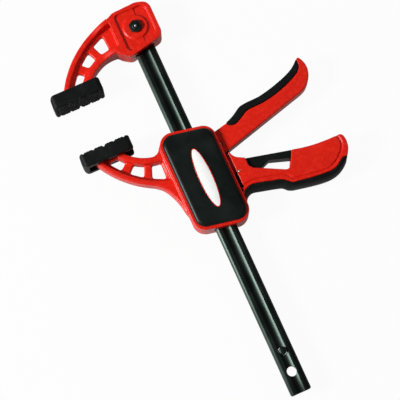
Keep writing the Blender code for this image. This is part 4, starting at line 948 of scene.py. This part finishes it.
makeBar()
makeFixedJaw()
makePad("fixedJawPad", "fixed_jaw_pad", "bar", onFixedFace, fixedJaw["padTip"])
makeJawBolt()
makeBodyShell()
makePad("movingJawPad", "moving_jaw_pad", "body", onMovingFace, movingArm["padTip"])
makeFrontCover()
makeBackCover()
makeBadge()
makeScrews()
makeHandleGrip()
makeTrigger()
makeTriggerGrip()
makeReleaseLever()
makePins()
makeSprings()
for name in ("trigger_pivot_pin", "drive_plate_1", "drive_plate_2", "brake_plate"):
    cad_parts[name].data.materials.clear()
    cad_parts[name].data.materials.append(finishes["zinc"])
print("pieces ready")


# Stage, light and camera

photoCamera = {
    "azimuth": -24.08, "elevation": 79.0, "distance": 1.40, "sensor": 36.0,
    "pixels": 400, "millimetresPerPixel": 0.848, "boltPixel": (135.6, 26.1),
    "boltPoint": (0.0003, 0.1435, 0.026),
}


def placeCamera(look=photoCamera):
    a, e = math.radians(look["azimuth"]), math.radians(look["elevation"])
    right = Vector((math.cos(a), math.sin(a), 0))
    back = Vector((math.sin(a) * math.cos(e), -math.cos(a) * math.cos(e), math.sin(e)))
    up = back.cross(right)
    focal = look["distance"] / (look["millimetresPerPixel"] * mm)  # in pixels
    across, down = (p - look["pixels"] / 2 for p in look["boltPixel"])
    eye = Vector(look["boltPoint"]) - look["distance"] * (right * across / focal - up * down / focal - back)
    bpy.ops.object.camera_add()
    camera = bpy.context.object
    camera.name = "photoCamera"
    camera.matrix_world = Matrix.Translation(eye) @ Matrix((right, up, back)).transposed().to_4x4()
    camera.data.lens = focal * look["sensor"] / look["pixels"]
    camera.data.sensor_width = look["sensor"]
    camera.data.dof.use_dof = False
    bpy.context.scene.camera = camera


stageLook = {
    "floorSize": 6.0, "floorGap": 0.0004, "floorColour": (0.56, 0.56, 0.56), "floorRoughness": 0.9,
    "glow": 0.95, "mirrorGlow": 0.24, "aim": (0.01, 0.0, 0.015),
    "zenith": 0.015, "leftHorizon": 0.45, "rightHorizon": 0.12, "leftTurn": 156,
    "key": {"at": (-1.53, 0.20, 1.26), "size": 0.50, "power": 54.0, "mirrored": True},
    "fill": {"at": (0.85, 0.42, 0.70), "size": 1.60, "power": 6.0, "mirrored": False},
}


def makeFloor(look=stageLook):
    bpy.ops.object.select_all(action="DESELECT")
    bpy.ops.mesh.primitive_plane_add(size=look["floorSize"], location=(0, 0, 0))
    floor = bpy.context.object
    floor.name = "paleFloor"
    floor.data.transform(Matrix.Translation((0, 0, cadBox[0][2] - look["floorGap"])))
    fixed = {"Base Color": (*look["floorColour"], 1), "Roughness": look["floorRoughness"]}
    finish, place = newFinish("paleFloor", fixed)
    rays = finish.node_tree.nodes.new("ShaderNodeLightPath")
    camera, glossy, passed = (Tone(finish.node_tree, rays.outputs[f"Is {kind} Ray"])
                              for kind in ("Camera", "Glossy", "Transmission"))
    seen = look["glow"] * camera + look["mirrorGlow"] * (glossy + passed)  # mirrors see a dimmer floor
    glow = place.node("Emission", {}, {"Color": (1, 1, 1, 1), "Strength": 1.0})
    matt = Tone(finish.node_tree, finish.node_tree.nodes["Principled BSDF"].outputs["BSDF"])
    mixed = place.node("MixShader", {}, {0: seen, 1: matt, 2: glow})
    finish.node_tree.links.new(mixed.socket, finish.node_tree.nodes["Material Output"].inputs["Surface"])
    floor.data.materials.append(finish)


def makeLights(look=stageLook):
    target = Vector(look["aim"])
    for name in ("key", "fill"):
        spot = look[name]
        bpy.ops.object.light_add(type="AREA", location=spot["at"])
        lamp = bpy.context.object
        lamp.name = name + "Light"
        lamp.data.size = spot["size"]
        lamp.data.energy = spot["power"]
        lamp.visible_glossy = spot["mirrored"]  # the fill lights the walls without a shine of its own
        lamp.rotation_euler = (Vector(spot["at"]) - target).to_track_quat("Z", "Y").to_euler()
    world = bpy.data.worlds.new("studio")
    bpy.context.scene.world = world
    world.use_nodes = True
    tree = world.node_tree
    sky = tree.nodes.new("ShaderNodeTexCoord")
    way = Tone(tree, sky.outputs["Generated"])
    turn = math.radians(look["leftTurn"])
    left = 0.5 + 0.5 * (way.height("X") * math.cos(turn) + way.height("Y") * math.sin(turn))
    low = 1 - abs(way.height("Z"))
    side = look["rightHorizon"] + (look["leftHorizon"] - look["rightHorizon"]) * left
    level = look["zenith"] + side * low * low  # bright on the left, dim on the right and dark above
    tree.nodes["Background"].inputs["Color"].default_value = (1, 1, 1, 1)
    tree.links.new(level.socket, tree.nodes["Background"].inputs["Strength"])


makeFloor()
makeLights()
placeCamera()
bpy.context.scene.view_settings.view_transform = "Standard"
print("stage ready")
